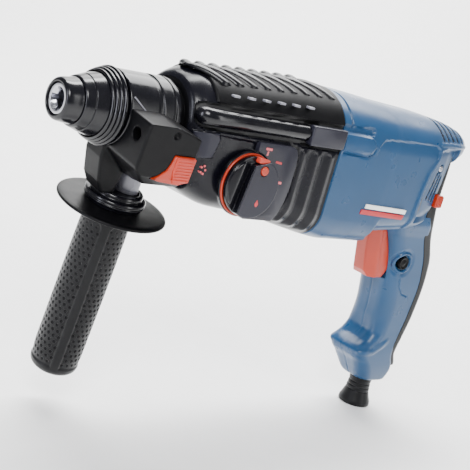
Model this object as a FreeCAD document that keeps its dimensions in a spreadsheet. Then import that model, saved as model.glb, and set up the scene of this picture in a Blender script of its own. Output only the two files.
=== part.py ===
import FreeCAD, Part
import math
import os
import Sketcher

# Pistol-grip rotary hammer, 26 mm class. Millimetres, +Z up.
# The origin is the mouth of the tool socket, on the spindle axis. +X runs back towards the motor,
# -Y is the side with the mode dial.

SIZES = {
    # clearances and walls shared by every sub-part
    "fit_gap": 0.35, "run_gap": 0.05, "slide_gap": 0.3, "shell_wall": 2.5,
    # tool socket, dust cap, locking sleeve and backing ring
    "socket_radius": 5.0, "socket_depth": 60.0, "nose_wall": 4.3, "nose_end": 10.6,
    "holder_radius": 12.0, "holder_reach": 8.7, "flange_radius": 16.5, "flange_width": 8.0,
    "cap_lip": 1.0, "cap_mouth": 0.5, "cap_gap": 0.9, "cap_front_wall": 3.5, "cap_back_wall": 4.9,
    "sleeve_length": 14.8, "sleeve_front_wall": 2.95, "sleeve_rise": 4.3, "sleeve_wall": 2.2,
    "sleeve_stroke": 7.5, "sleeve_step": 6.8, "backing_lap": 0.8, "backing_wall": 4.45, "backing_web": 1.0,
    "ridge_depth": 0.9, "ball_radius": 3.0, "ball_place": 20.0, "ball_way": 0.6,
    # hammer mechanism on the spindle axis
    "tube_bore": 13.0, "tube_wall": 2.8, "tube_length": 62.0, "chamber_radius": 9.0, "bolt_nose": 8.0,
    "bolt_tail": 6.0, "bolt_run": 10.0, "striker_run": 14.0, "striker_length": 25.0, "striker_nose": 7.0,
    "air_cushion": 12.0, "piston_skirt": 17.0, "piston_tail": 8.0, "piston_tail_radius": 8.4,
    "wobble_run": 77.0, "finger_radius": 3.2, "finger_slack": 2.1,
    # gears: module, tooth counts, widths
    "spindle_module": 1.25, "spindle_teeth": 43, "pinion_teeth": 15, "spindle_gear_run": 23.0,
    "spindle_gear_width": 9.0, "motor_module": 1.0, "driven_teeth": 35, "motor_teeth": 9,
    "driven_gear_width": 8.0, "motor_pinion_reach": 29.5, "layshaft_radius": 4.0, "layshaft_run": 20.7,
    "bush_width": 6.5, "bush_wall": 1.95, "hub_radius": 9.3, "hub_half": 6.0, "hub_gap": 0.5,
    "wobble_wall": 3.4, "wobble_width": 7.0, "shift_width": 14.0,
    # gear housing, stations behind the rim: run, half width, top, bottom, upper and lower corner radius
    "neck_radius": 20.8, "neck_wall": 2.8, "neck_gap": 1.6, "rim_x": 79.3,
    "rim_run": 0.0, "rim_half": 27.6, "rim_top": 27.6, "rim_low": -27.6, "rim_crown": 27.0, "rim_keel": 27.0,
    "cheek_run": 12.7, "cheek_half": 33.5, "cheek_top": 32.0, "cheek_low": -42.5, "cheek_crown": 31.0,
    "cheek_keel": 22.0,
    "dial_run": 35.7, "dial_half": 36.8, "dial_top": 32.4, "dial_low": -51.0, "dial_crown": 31.0,
    "dial_keel": 21.0,
    "hump_run": 70.7, "hump_half": 38.0, "hump_top": 34.4, "hump_low": -53.5, "hump_crown": 31.0,
    "hump_keel": 20.0,
    "skirt_run": 95.7, "skirt_half": 38.5, "skirt_top": 35.8, "skirt_low": -58.5, "skirt_crown": 31.0,
    "skirt_keel": 20.0,
    "seam_run": 124.7, "seam_half": 39.0, "seam_top": 36.4, "seam_low": -64.0, "seam_crown": 31.0,
    "seam_keel": 20.0,
    # housing trim
    "cover_rise": 1.6, "cover_low": 16.0, "rail_radius": 6.0, "rail_z": 9.0, "rail_sink": 2.8,
    "clip_length": 32.0, "clip_rise": 3.0, "clip_low": 1.5, "clip_top": 15.8, "plate_low": -51.0,
    "plate_top": -2.5, "plate_rise": 3.0,
    # motor housing stations behind the seam
    "belly_run": 20.0, "belly_half": 39.0, "belly_top": 36.0, "belly_low": -66.5, "belly_crown": 31.0,
    "belly_keel": 20.0,
    "step_run": 58.0, "step_half": 38.5, "step_top": 34.0, "step_low": -64.0, "step_crown": 30.0,
    "step_keel": 20.0,
    "throat_run": 66.0, "throat_half": 38.2, "throat_top": 33.6, "throat_low": -57.0,
    "throat_crown": 30.0, "throat_keel": 20.0,
    "tail_run": 108.0, "tail_half": 35.0, "tail_top": 31.6, "tail_low": -54.0, "tail_crown": 28.0,
    "tail_keel": 20.0,
    "shoulder_run": 132.0, "shoulder_half": 29.5, "shoulder_top": 29.4, "shoulder_low": -50.0,
    "shoulder_crown": 24.0, "shoulder_keel": 18.0,
    "brow_run": 152.0, "brow_half": 22.0, "brow_top": 25.4, "brow_low": 0.0, "brow_crown": 14.0,
    "brow_keel": 11.0,
    "stern_run": 165.0, "stern_half": 15.0, "stern_top": 19.0, "stern_low": 6.0, "stern_crown": 7.0,
    "stern_keel": 5.5,
    # cooling slits round both sides of the crown: first one, pitch, width, foot, strip left along the top
    "vent_run": 116.0, "vent_pitch": 8.0, "vent_width": 3.0, "vent_low": 18.0, "vent_strip": 5.0,
    # grip stations, downwards from its front line: height, front, back, half width
    "grip_run": 96.0,
    "root_z": -8.0, "root_front": 0.0, "root_back": 51.0, "root_half": 23.0,
    "neckline_z": -40.0, "neckline_front": 0.0, "neckline_back": 51.0, "neckline_half": 22.0,
    "web_z": -62.0, "web_front": 12.0, "web_back": 59.0, "web_half": 20.5,
    "palm_z": -84.0, "palm_front": 22.0, "palm_back": 69.0, "palm_half": 19.5,
    "finger_z": -104.0, "finger_front": 26.0, "finger_back": 71.0, "finger_half": 19.2,
    "waist_z": -128.0, "waist_front": 29.5, "waist_back": 69.0, "waist_half": 19.0,
    "wrist_z": -146.0, "wrist_front": 27.0, "wrist_back": 65.0, "wrist_half": 19.0,
    "lip_z": -160.0, "lip_front": 14.5, "lip_back": 62.5, "lip_half": 19.0,
    "heel_z": -172.0, "heel_front": 26.0, "heel_back": 67.5, "heel_half": 18.5,
    "foot_z": -187.0, "foot_front": 38.5, "foot_back": 66.0, "foot_half": 14.0,
    "grip_front_radius": 12.5, "grip_back_radius": 6.0, "cover_thickness": 4.0, "grip_wall": 3.0,
    # cable boot and what holds the cable
    "boot_run": 50.5, "boot_bore": 4.0, "boot_wall": 5.5, "boot_waist": 5.0, "boot_flare": 9.0,
    "boot_length": 24.5, "boot_neck": 2.5, "boot_flange": 4.5, "clamp_width": 5.0, "clamp_above": 6.0,
    "clamp_half": 12.0, "clamp_pitch": 8.5, "screw_radius": 2.2, "screw_head": 3.9, "screw_length": 7.0,
    # motor
    "stator_clear": 3.5, "stator_run": 20.0, "stator_length": 50.0, "core_radius": 20.2, "air_gap": 0.7,
    "coil_width": 6.0, "winding_length": 8.0, "winding_step": 3.7, "slot_half": 1.3, "slot_depth": 7.7,
    "shaft_radius": 5.0, "pinion_length": 10.0, "pinion_bore": 2.4, "commutator_radius": 11.0,
    "commutator_run": 12.0, "commutator_length": 14.0, "fan_run": 1.5, "fan_clear": 3.0, "fan_width": 9.0,
    "fan_blades": 12, "plate_run": 18.0, "plate_width": 9.0, "front_bearing_run": 17.0,
    "back_bearing_run": 7.0, "bearing_width": 7.0, "bearing_radius": 11.0, "brush_width": 9.0,
    "brush_half": 3.0, "brush_reach": 23.0, "holder_wall": 1.5,
    # side handle, in its own frame about the spindle axis
    "handle_swivel": 9.1, "band_wall": 2.35, "band_gap": 2.2, "band_clear": 4.3, "band_groove": 0.8,
    "bracket_clear": 0.9, "bracket_reach": 44.0, "bracket_top": 8.5, "handle_back": 13.8,
    "leg_length": 22.0, "leg_half": 9.5, "post_run": 6.5, "post_radius": 6.0, "leg_end": -53.5,
    "collar_radius": 20.5, "collar_seat": 17.5, "collar_height": 9.1, "guard_radius": 36.5,
    "guard_thickness": 3.4, "grip_top_radius": 15.5, "side_grip_radius": 17.2, "side_grip_length": 121.15,
    "soft_thickness": 4.0, "clamp_bolt_radius": 4.0, "clamp_bolt_length": 58.5, "bolt_end_gap": 4.0,
    "rod_radius": 4.0, "rod_inset": 10.5, "rod_z": -2.0,
    "button_length": 19.7, "button_rise": 2.2, "button_depth": 8.0, "button_low": -28.0, "button_top": -8.5,
    "button_travel": 3.0, "spring_radius": 2.2,
    # dial and its release
    "knob_run": 45.2, "knob_z": -28.5, "dial_radius": 21.5, "dial_step": 1.9, "knob_height": 10.0,
    "dial_shaft": 7.0, "wing_half": 4.2, "release_radius": 3.0, "release_offset": 12.0,
    # trigger, lock-on button, reversing slider
    "trigger_half": 11.6, "trigger_nose": 6.6, "pivot_run": 18.0, "pivot_z": -62.5, "pivot_radius": 1.6,
    "lock_run": 33.5, "lock_z": -83.0, "lock_radius": 5.2, "lock_rise": 0.8, "lever_run": 41.0,
    "lever_z": -29.0, "lever_half": 3.8, "lever_height": 5.0, "lever_travel": 9.0,
}

doc = FreeCAD.newDocument("rotary_hammer")
sheet = doc.addObject("Spreadsheet::Sheet", "dims")
for row, (alias, amount) in enumerate(SIZES.items(), start=1):
    sheet.set("A%d" % row, alias)
    sheet.set("B%d" % row, str(amount))
    sheet.setAlias("B%d" % row, alias)
doc.recompute()


class Size:
    """A length or angle that knows its number and the sheet expression that gives it."""

    def __init__(self, number, text):
        self.number = float(number)
        self.text = text

    def joined(self, other, sign, number, first=False):
        if not isinstance(other, Size):
            other = Size(other, repr(float(other)))
        left, right = (other, self) if first else (self, other)
        return Size(number(left.number, right.number), "(%s %s %s)" % (left.text, sign, right.text))

    def __add__(self, other):
        return self.joined(other, "+", lambda a, b: a + b)

    def __radd__(self, other):
        return self.joined(other, "+", lambda a, b: a + b, True)

    def __sub__(self, other):
        return self.joined(other, "-", lambda a, b: a - b)

    def __rsub__(self, other):
        return self.joined(other, "-", lambda a, b: a - b, True)

    def __mul__(self, other):
        return self.joined(other, "*", lambda a, b: a * b)

    def __rmul__(self, other):
        return self.joined(other, "*", lambda a, b: a * b, True)

    def __truediv__(self, other):
        return self.joined(other, "/", lambda a, b: a / b)

    def __neg__(self):
        return 0.0 - self


class Sheet:
    """Reads a size from the spreadsheet by its alias."""

    def __getattr__(self, alias):
        return Size(sheet.get(alias), "dims." + alias)


d = Sheet()


def size(value):
    return value if isinstance(value, Size) else Size(value, repr(float(value)))


def bind(item, path, value):
    """Ties one property of an object to the sheet."""
    item.setExpression(path, size(value).text)


FRONT = ("rim", "cheek", "dial", "hump", "skirt", "seam")
BACK = ("seam", "belly", "step", "throat", "tail", "shoulder", "brow", "stern")
GRIP = ("root", "neckline", "web", "palm", "finger", "waist", "wrist", "lip", "heel", "foot")
X_AXIS = FreeCAD.Vector(1, 0, 0)
Y_AXIS = FreeCAD.Vector(0, 1, 0)
Z_AXIS = FreeCAD.Vector(0, 0, 1)
TURN = {"x": FreeCAD.Rotation(Y_AXIS, 90), "y": FreeCAD.Rotation(X_AXIS, -90), "z": FreeCAD.Rotation()}
NODES = {}


def publish(name, item):
    """Makes an object a sub-part: its label names its file."""
    item.Label = name
    NODES[name] = item
    return item


def place(item, x=0.0, y=0.0, z=0.0, turn=None):
    """Puts an object at a bound position, turned by a fixed rotation."""
    spot = FreeCAD.Vector(size(x).number, size(y).number, size(z).number)
    item.Placement = FreeCAD.Placement(spot, turn or FreeCAD.Rotation())
    for axis, value in (("x", x), ("y", y), ("z", z)):
        bind(item, "Placement.Base." + axis, value)
    return item


# ---------------------------------------------------------------- primitives and booleans

def box(x, y, z, name="block"):
    """A block from three (low, high) pairs."""
    item = doc.addObject("Part::Box", name)
    for path, (low, high) in (("Length", x), ("Width", y), ("Height", z)):
        bind(item, path, size(high) - low)
    return place(item, x[0], y[0], z[0])


def rod(axis, start, end, radius, x=0.0, y=0.0, z=0.0, name="rod"):
    """A round bar along one axis, from start to end."""
    item = doc.addObject("Part::Cylinder", name)
    bind(item, "Radius", radius)
    bind(item, "Height", size(end) - start)
    spot = {"x": x, "y": y, "z": z}
    spot[axis] = start
    return place(item, turn=TURN[axis], **spot)


def ball(radius, x, y, z):
    item = doc.addObject("Part::Sphere", "ball")
    bind(item, "Radius", radius)
    return place(item, x, y, z)


def cut(base, *tools):
    for tool in tools:
        item = doc.addObject("Part::Cut", "cut")
        item.Base = base
        item.Tool = tool
        base = item
    return base


def fuse(*pieces):
    item = doc.addObject("Part::MultiFuse", "fuse")
    item.Shapes = list(pieces)
    item.Refine = True
    return item


def common(base, tool):
    item = doc.addObject("Part::Common", "common")
    item.Base = base
    item.Tool = tool
    return item


def group(*pieces):
    """Separate solids that share one node, such as a set of screws."""
    item = doc.addObject("Part::Compound", "group")
    item.Links = list(pieces)
    return item


# ---------------------------------------------------------------- bodies and sketches

def plane(body, role):
    return [item for item in body.Origin.OriginFeatures if item.Role == role][0]


def sketch_on(body, role, offset=0.0):
    sketch = body.newObject("Sketcher::SketchObject", "sketch")
    sketch.AttachmentSupport = [(plane(body, role), "")]
    sketch.MapMode = "FlatFace"
    shift = FreeCAD.Vector(0, 0, size(offset).number)
    sketch.AttachmentOffset = FreeCAD.Placement(shift, FreeCAD.Rotation())
    bind(sketch, "AttachmentOffset.Base.z", offset)
    return sketch


def polygon(sketch, points):
    """A closed outline whose every corner is tied to the sheet."""
    corners = [FreeCAD.Vector(size(a).number, size(b).number, 0) for a, b in points]
    count = len(corners)
    for index in range(count):
        sketch.addGeometry(Part.LineSegment(corners[index], corners[(index + 1) % count]), False)
    for index in range(count):
        sketch.addConstraint(Sketcher.Constraint("Coincident", index, 2, (index + 1) % count, 1))
    for index, (a, b) in enumerate(points):
        for kind, value in (("DistanceX", a), ("DistanceY", b)):
            number = size(value).number
            made = sketch.addConstraint(Sketcher.Constraint(kind, -1, 1, index, 1, number))
            bind(sketch, "Constraints[%d]" % made, value)
    return sketch


def turned(points, body=None):
    """A body turned about X from an outline of (x, radius) corners."""
    body = body or doc.addObject("PartDesign::Body", "body")
    sketch = polygon(sketch_on(body, "XZ_Plane"), points)
    feature = body.newObject("PartDesign::Revolution", "turned")
    feature.Profile = sketch
    feature.ReferenceAxis = (sketch, ["H_Axis"])
    feature.Angle = 360
    return body


def padded(points, role, half, body=None):
    """A body padded evenly to both sides of an origin plane."""
    body = body or doc.addObject("PartDesign::Body", "body")
    sketch = polygon(sketch_on(body, role), points)
    feature = body.newObject("PartDesign::Pad", "pad")
    feature.Profile = sketch
    feature.SideType = "Symmetric"
    bind(feature, "Length", size(half) * 2.0)
    return body


def rounded(sketch, half, low, high, low_radius, high_radius, sideways):
    """A rectangle with four round corners: across by half, along from low to high."""
    w, b, t, rb, rt = (size(value).number for value in (half, low, high, low_radius, high_radius))
    spin = -90 if sideways else 0

    def spot(across, along):
        return FreeCAD.Vector(along, -across, 0) if sideways else FreeCAD.Vector(across, along, 0)

    def side(a, b_):
        sketch.addGeometry(Part.LineSegment(spot(*a), spot(*b_)), False)

    def corner(across, along, radius, start):
        circle = Part.Circle(spot(across, along), Z_AXIS, radius)
        ends = math.radians(start + spin), math.radians(start + 90 + spin)
        sketch.addGeometry(Part.ArcOfCircle(circle, *ends), False)

    side((w, b + rb), (w, t - rt))
    corner(w - rt, t - rt, rt, 0)
    side((w - rt, t), (-w + rt, t))
    corner(-w + rt, t - rt, rt, 90)
    side((-w, t - rt), (-w, b + rb))
    corner(-w + rb, b + rb, rb, 180)
    side((-w + rb, b), (w - rb, b))
    corner(w - rb, b + rb, rb, 270)
    make = Sketcher.Constraint
    for index in range(8):
        sketch.addConstraint(make("Tangent", index, 2, (index + 1) % 8, 1))
    upright, flat = ("Horizontal", "Vertical") if sideways else ("Vertical", "Horizontal")
    for index, kind in ((0, upright), (2, flat), (4, upright), (6, flat)):
        sketch.addConstraint(make(kind, index))
    for index, value in ((1, high_radius), (3, high_radius), (5, low_radius), (7, low_radius)):
        made = sketch.addConstraint(make("Radius", index, size(value).number))
        bind(sketch, "Constraints[%d]" % made, value)
    across_kind, along_kind, sign = "DistanceX", "DistanceY", 1
    if sideways:
        across_kind, along_kind, sign = "DistanceY", "DistanceX", -1
    places = ((0, across_kind, size(half) * sign), (4, across_kind, size(half) * -sign),
              (2, along_kind, high), (6, along_kind, low))
    for index, kind, value in places:
        made = sketch.addConstraint(make(kind, -1, 1, index, 1, size(value).number))
        bind(sketch, "Constraints[%d]" % made, value)
    return sketch


def lofted(body, kind, role, stations):
    """A ruled loft through rounded sections: (offset, half, low, high, low radius, high radius)."""
    sections = [rounded(sketch_on(body, role, station[0]), *station[1:], role == "XY_Plane")
                for station in stations]
    feature = body.newObject(kind, "loft")
    feature.Profile = sections[0]
    feature.Sections = sections[1:]
    feature.Ruled = True
    return feature


ADD, TAKE = "PartDesign::AdditiveLoft", "PartDesign::SubtractiveLoft"


def station(name, inset=0.0, shift=0.0, lift=0.0):
    """One section of the housings, drawn in by inset."""
    part = {key: getattr(d, "%s_%s" % (name, key)) for key in ("run", "half", "top", "low", "crown", "keel")}
    start = d.rim_x if name in FRONT else SEAM_X
    return (start + part["run"] + shift, part["half"] - inset + lift, part["low"] + inset,
            part["top"] - inset + lift, part["keel"] - inset, part["crown"] - inset + lift)


def slice_of_grip(name, front, back, inset, radii):
    """One section of the grip: front and back are trims, inset narrows it."""
    part = {key: getattr(d, "%s_%s" % (name, key)) for key in ("z", "front", "back", "half")}
    ends = (GRIP_X + part["front"] + front, GRIP_X + part["back"] - back)
    return (part["z"], part["half"] - inset) + ends + radii


def pocket(body, role, points, length, reverse=False, both=False):
    sketch = polygon(sketch_on(body, role), points)
    feature = body.newObject("PartDesign::Pocket", "pocket")
    feature.Profile = sketch
    feature.SideType = "Symmetric" if both else "One side"
    bind(feature, "Length", length)
    feature.Reversed = reverse
    return feature


def groove(body, points):
    """Turns away material about X."""
    sketch = polygon(sketch_on(body, "XZ_Plane"), points)
    feature = body.newObject("PartDesign::Groove", "groove")
    feature.Profile = sketch
    feature.ReferenceAxis = (sketch, ["H_Axis"])
    feature.Angle = 360
    return feature


# ---------------------------------------------------------------- gears and bearings

def involute(angle):
    return math.tan(angle) - angle


def gear(teeth, module, start, width, bore, height, phase):
    """Short-tooth involute spur gear about X: its outline is a formula, so Part makes it."""
    pressure, slim = math.radians(25), 0.86
    number = int(teeth.number)
    pitch, base = number * module.number / 2, number * module.number / 2 * math.cos(pressure)
    root, tip = pitch - 0.95 * module.number, pitch + 0.68 * module.number
    radii = [root] + [max(base, root) + (tip - max(base, root)) * part for part in (0.0, 0.35, 0.7, 1.0)]

    def half_tooth(radius):
        working = math.acos(min(1.0, base / max(radius, base)))
        return math.pi / (2 * number) * slim + involute(pressure) - involute(working)

    flank = [(radius, half_tooth(radius)) for radius in radii]
    points = []
    for tooth in range(number):
        middle = 2 * math.pi * tooth / number + math.radians(phase)
        points += [(r, middle - a) for r, a in flank] + [(r, middle + a) for r, a in reversed(flank)]
    corners = [FreeCAD.Vector(0, r * math.sin(a), r * math.cos(a)) for r, a in points]
    outline = Part.Face(Part.Wire(Part.makePolygon(corners + corners[:1])))
    solid = outline.extrude(FreeCAD.Vector(width.number, 0, 0))
    hole = Part.makeCylinder(bore.number, width.number, FreeCAD.Vector(), X_AXIS)
    item = doc.addObject("Part::Feature", "gear")
    item.Shape = solid.cut(hole)
    item.Placement = FreeCAD.Placement(FreeCAD.Vector(start.number, 0, height.number), FreeCAD.Rotation())
    return item


def bearing(start, width, bore, outer, height):
    """Ball bearing: two rings and eight balls, free of each other by the running gap."""
    race, seat = (outer - bore) * 0.34, 0.3
    rings = [(bore, bore + race - seat), (outer - race + seat, outer)]
    parts = [cut(rod("x", start, start + width, high, z=height),
                 rod("x", start - 1.0, start + width + 1.0, low, z=height)) for low, high in rings]
    middle, radius = (bore + outer) / 2.0, (outer - bore - race * 2.0) / 2.0 + seat - d.run_gap
    for index in range(8):
        angle = math.radians(45.0 * index)
        parts.append(ball(radius, start + width / 2.0, middle * math.sin(angle),
                          height + middle * math.cos(angle)))
    return group(*parts)


def coil_rings(start, end, radius, wire, turns, height=0.0):
    """Compression spring drawn as evenly spaced turns along X."""
    parts = []
    for index in range(turns):
        item = doc.addObject("Part::Torus", "turn")
        bind(item, "Radius1", radius)
        bind(item, "Radius2", wire)
        along = start + wire + (end - start - wire * 2.0) * (index / (turns - 1))
        parts.append(place(item, along, 0.0, height, TURN["x"]))
    return group(*parts)


def screw(axis, head_at, length, x, y, z, sign=1.0):
    """Pan-head screw: the head stands on head_at and the shank runs to sign."""
    spot = {"x": x, "y": y, "z": z}
    depth = d.screw_radius * 1.1
    ends = [head_at - depth, head_at] if sign > 0 else [head_at, head_at + depth]
    shank = [head_at, head_at + length] if sign > 0 else [head_at - length, head_at]
    rest = {key: value for key, value in spot.items() if key != axis}
    return fuse(rod(axis, ends[0], ends[1], d.screw_head, **rest),
                rod(axis, shank[0], shank[1], d.screw_radius, **rest))


def ring(start, end, bore, radius, height=0.0):
    """A plain ring about an axis parallel to X."""
    return cut(rod("x", start, end, radius, z=height),
               rod("x", size(start) - 1.0, size(end) + 1.0, bore, z=height))


def polar(body, feature, count):
    """Repeats a feature about the sketch's normal, the X axis."""
    pattern = body.newObject("PartDesign::PolarPattern", "pattern")
    pattern.Originals = [feature]
    pattern.Axis = (feature.Profile[0], ["N_Axis"])
    pattern.Angle = 360
    bind(pattern, "Occurrences", count)
    body.Tip = pattern
    return pattern


# What follows from the sizes above: places along X, the two parallel shafts, and radii that seat on others.
SEAM_X = d.rim_x + d.seam_run
GRIP_X = SEAM_X + d.grip_run
HOLDER_END = d.rim_x + d.holder_reach
WOBBLE_X = HOLDER_END + d.wobble_run
SPINDLE_GEAR_X = HOLDER_END + d.spindle_gear_run
DRIVEN_GEAR_X = SEAM_X - d.motor_pinion_reach + 0.5
LAYSHAFT_X = d.rim_x + d.layshaft_run
LAYSHAFT_END = SEAM_X - d.plate_run + d.bearing_width + 0.5
STATOR_X = SEAM_X + d.stator_run
STATOR_END = STATOR_X + d.stator_length
COMMUTATOR_X = STATOR_END + d.commutator_run
BACK_BEARING_X = COMMUTATOR_X + d.commutator_length + d.back_bearing_run
LAY_Z = -(d.spindle_module * (d.spindle_teeth + d.pinion_teeth) / 2.0)
MOTOR_Z = LAY_Z + d.motor_module * (d.driven_teeth + d.motor_teeth) / 2.0
NOSE_RADIUS = d.socket_radius + d.nose_wall
CAP_END = d.nose_end - d.cap_gap
SLEEVE_X = CAP_END + 0.5
SLEEVE_END = SLEEVE_X + d.sleeve_length
SLEEVE_FRONT = d.holder_radius + d.fit_gap + d.sleeve_front_wall
SLEEVE_BACK = SLEEVE_FRONT + d.sleeve_rise
BACKING_X = SLEEVE_END - d.backing_lap
BACKING_END = SLEEVE_END + d.sleeve_stroke + d.backing_web + 0.5
BACKING_BORE = SLEEVE_BACK + d.fit_gap
BACKING_RADIUS = BACKING_BORE + d.backing_wall
NECK_X = BACKING_END + d.neck_gap
NECK_BORE = d.neck_radius - d.neck_wall
TUBE_RADIUS = d.tube_bore + d.tube_wall
BAND_X = BACKING_END + d.band_gap
BAND_END = d.rim_x - d.band_clear
BAND_BORE = d.neck_radius + d.fit_gap
BAND_RADIUS = BAND_BORE + d.band_wall
BRACKET_END = d.rim_x - d.bracket_clear
HANDLE_X = d.rim_x - d.handle_back
POST_X = HANDLE_X + d.post_run
COLLAR_FOOT = d.leg_end - d.collar_height
KNOB_X = d.rim_x + d.knob_run
PLATE_FACE = d.hump_half + d.plate_rise
KNOB_FACE = PLATE_FACE + d.knob_height
PIVOT_X = GRIP_X + d.pivot_run
LOCK_X = GRIP_X + d.lock_run
LEVER_X = GRIP_X + d.lever_run
BOOT_X = GRIP_X + d.boot_run


# ---------------------------------------------------------------- chuck and hammer mechanism

def tool_holder():
    shoulder, chamber = HOLDER_END - d.flange_width, d.socket_depth + 2.0
    relief, ahead, behind = d.socket_radius + d.ball_way, d.ball_place - 4.0, d.ball_place + 6.0
    bar = turned([(0.0, d.socket_radius), (0.0, NOSE_RADIUS), (d.nose_end, NOSE_RADIUS),
                  (d.nose_end, d.holder_radius), (shoulder, d.holder_radius), (shoulder, d.flange_radius),
                  (HOLDER_END, d.flange_radius), (HOLDER_END, d.chamber_radius),
                  (chamber, d.chamber_radius), (chamber, d.socket_radius),
                  (behind, d.socket_radius), (behind, relief), (ahead, relief), (ahead, d.socket_radius)])
    windows = rod("y", -d.holder_radius - 1.0, d.holder_radius + 1.0, d.ball_radius + 0.1, x=d.ball_place)
    drive_ribs = [box((d.ball_place + 10.0, d.ball_place + 26.0), (-1.0, 1.0), span)
                  for span in ((d.socket_radius - 1.0, d.socket_radius + 0.6),
                               (-d.socket_radius - 0.6, -d.socket_radius + 1.0))]
    publish("tool_holder", fuse(cut(bar, windows), *drive_ribs))
    seat = d.socket_radius + d.ball_radius + 0.2
    publish("locking_balls", group(*[ball(d.ball_radius, d.ball_place, y, 0.0) for y in (seat, -seat)]))


def dust_cap():
    mouth = NOSE_RADIUS + d.cap_mouth
    front, back = NOSE_RADIUS + d.cap_front_wall, NOSE_RADIUS + d.cap_back_wall
    publish("dust_cap", turned([(-d.cap_lip, mouth), (-d.cap_lip, front - 1.2), (0.4, front), (CAP_END, back),
                                (CAP_END, NOSE_RADIUS), (3.0, NOSE_RADIUS), (3.0, mouth)]))


def locking_sleeve():
    guide, step = d.holder_radius + d.fit_gap, SLEEVE_X + d.sleeve_step
    back_bore = SLEEVE_BACK - d.sleeve_wall
    publish("locking_sleeve", turned([(SLEEVE_X, guide), (SLEEVE_X, SLEEVE_FRONT), (SLEEVE_END, SLEEVE_BACK),
                                      (SLEEVE_END, back_bore), (step, back_bore - 1.6), (step, guide)]))
    publish("lock_spring", coil_rings(step + 0.2, BACKING_END - d.backing_web, d.holder_radius + 1.7,
                                      size(0.8), 6))


def backing_ring():
    web, pitch = BACKING_END - d.backing_web, (BACKING_END - BACKING_X) / 4.0
    valley = BACKING_RADIUS - d.ridge_depth
    ridges = []
    for index in range(4):
        start = BACKING_X + pitch * index
        ridges += [(start, valley), (start + pitch * 0.3, BACKING_RADIUS),
                   (start + pitch * 0.75, BACKING_RADIUS)]
    publish("backing_ring", turned(ridges + [(BACKING_END, valley), (BACKING_END, d.holder_radius),
                                             (web, d.holder_radius), (web, BACKING_BORE),
                                             (BACKING_X, BACKING_BORE)]))


def hammer_tube():
    seat_end, seat, tube_end = HOLDER_END + 2.5, TUBE_RADIUS + 5.2, HOLDER_END + d.tube_length
    publish("hammer_tube", turned([(HOLDER_END, d.tube_bore), (HOLDER_END, seat), (seat_end, seat),
                                   (seat_end, TUBE_RADIUS), (tube_end, TUBE_RADIUS),
                                   (tube_end, d.tube_bore)]))
    publish("clutch_spring", coil_rings(seat_end, SPINDLE_GEAR_X, TUBE_RADIUS + 2.6, size(1.6), 5))
    publish("spindle_gear", gear(d.spindle_teeth, d.spindle_module, SPINDLE_GEAR_X,
                                 d.spindle_gear_width, TUBE_RADIUS, size(0.0), 180.0))


def percussion_parts():
    slide, shank = d.tube_bore - d.slide_gap, d.socket_radius - 0.25
    head, front = d.chamber_radius - d.slide_gap, d.socket_depth - d.bolt_nose
    shoulder, back, tail = d.socket_depth + 6.0, HOLDER_END + 2.0, HOLDER_END + d.bolt_run
    publish("impact_bolt", turned([(front, 0.0), (front, shank), (shoulder, shank), (shoulder, head),
                                   (back, head), (back, d.bolt_tail), (tail, d.bolt_tail), (tail, 0.0)]))
    start, end = HOLDER_END + d.striker_run, HOLDER_END + d.striker_run + d.striker_length
    publish("striker", turned([(start, 0.0), (start, d.striker_nose), (start + 4.0, d.striker_nose),
                               (start + 4.0, slide), (end, slide), (end, 0.0)]))
    crown, tail_end = end + d.air_cushion, WOBBLE_X + d.piston_tail
    body = turned([(crown, 0.0), (crown, slide), (crown + d.piston_skirt, slide),
                   (crown + d.piston_skirt, d.piston_tail_radius), (tail_end, d.piston_tail_radius),
                   (tail_end, 0.0)])
    eye = rod("z", -d.tube_bore, d.tube_bore, d.finger_radius + d.finger_slack, x=WOBBLE_X)
    publish("piston", cut(body, eye))


def wobble_drive():
    half, race = d.wobble_width / 2.0, d.hub_radius + d.hub_gap
    outer = race + d.wobble_wall
    collar = rod("x", WOBBLE_X - half, WOBBLE_X + half, outer, z=LAY_Z)
    finger = rod("z", LAY_Z + race + 1.0, 5.0, d.finger_radius, x=WOBBLE_X)
    publish("wobble_plate", cut(fuse(collar, finger), ball(race, WOBBLE_X, 0.0, LAY_Z)))
    room = d.hub_radius * 2.0
    middle = box((WOBBLE_X - d.hub_half, WOBBLE_X + d.hub_half), (-room, room), (LAY_Z - room, LAY_Z + room))
    hub = common(ball(d.hub_radius, WOBBLE_X, 0.0, LAY_Z), middle)
    hole = rod("x", WOBBLE_X - d.hub_half - 1.0, WOBBLE_X + d.hub_half + 1.0, d.layshaft_radius, z=LAY_Z)
    publish("wobble_hub", cut(hub, hole))


def layshaft():
    bar = rod("x", LAYSHAFT_X, LAYSHAFT_END, d.layshaft_radius, z=LAY_Z)
    pinion = gear(d.pinion_teeth, d.spindle_module, SPINDLE_GEAR_X - 0.5, d.spindle_gear_width + 2.0,
                  d.layshaft_radius - 1.0, LAY_Z, 180.0 / d.pinion_teeth.number)
    publish("layshaft", fuse(bar, pinion))
    publish("driven_gear", gear(d.driven_teeth, d.motor_module, DRIVEN_GEAR_X, d.driven_gear_width,
                                d.layshaft_radius, LAY_Z, 0.0))
    start, end, rim = WOBBLE_X - d.shift_width - 15.0, WOBBLE_X - 15.0, d.layshaft_radius * 2.0
    spans = ((start, start + 4.0, rim), (start + 4.0, end - 4.0, rim - 1.8), (end - 4.0, end, rim))
    publish("shift_sleeve", fuse(*[ring(a, b, d.layshaft_radius, radius, LAY_Z) for a, b, radius in spans]))


# ---------------------------------------------------------------- housings

def shape(kind, stations, body=None):
    body = body or doc.addObject("PartDesign::Body", "shape")
    lofted(body, kind, "YZ_Plane", stations)
    return body


def front_cavity():
    inner = [station(name, d.shell_wall) for name in FRONT[1:]]
    first = station("rim", d.shell_wall, d.shell_wall)
    last = station("seam", d.shell_wall, 0.5)
    return [first] + inner[:-1] + [last]


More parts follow.
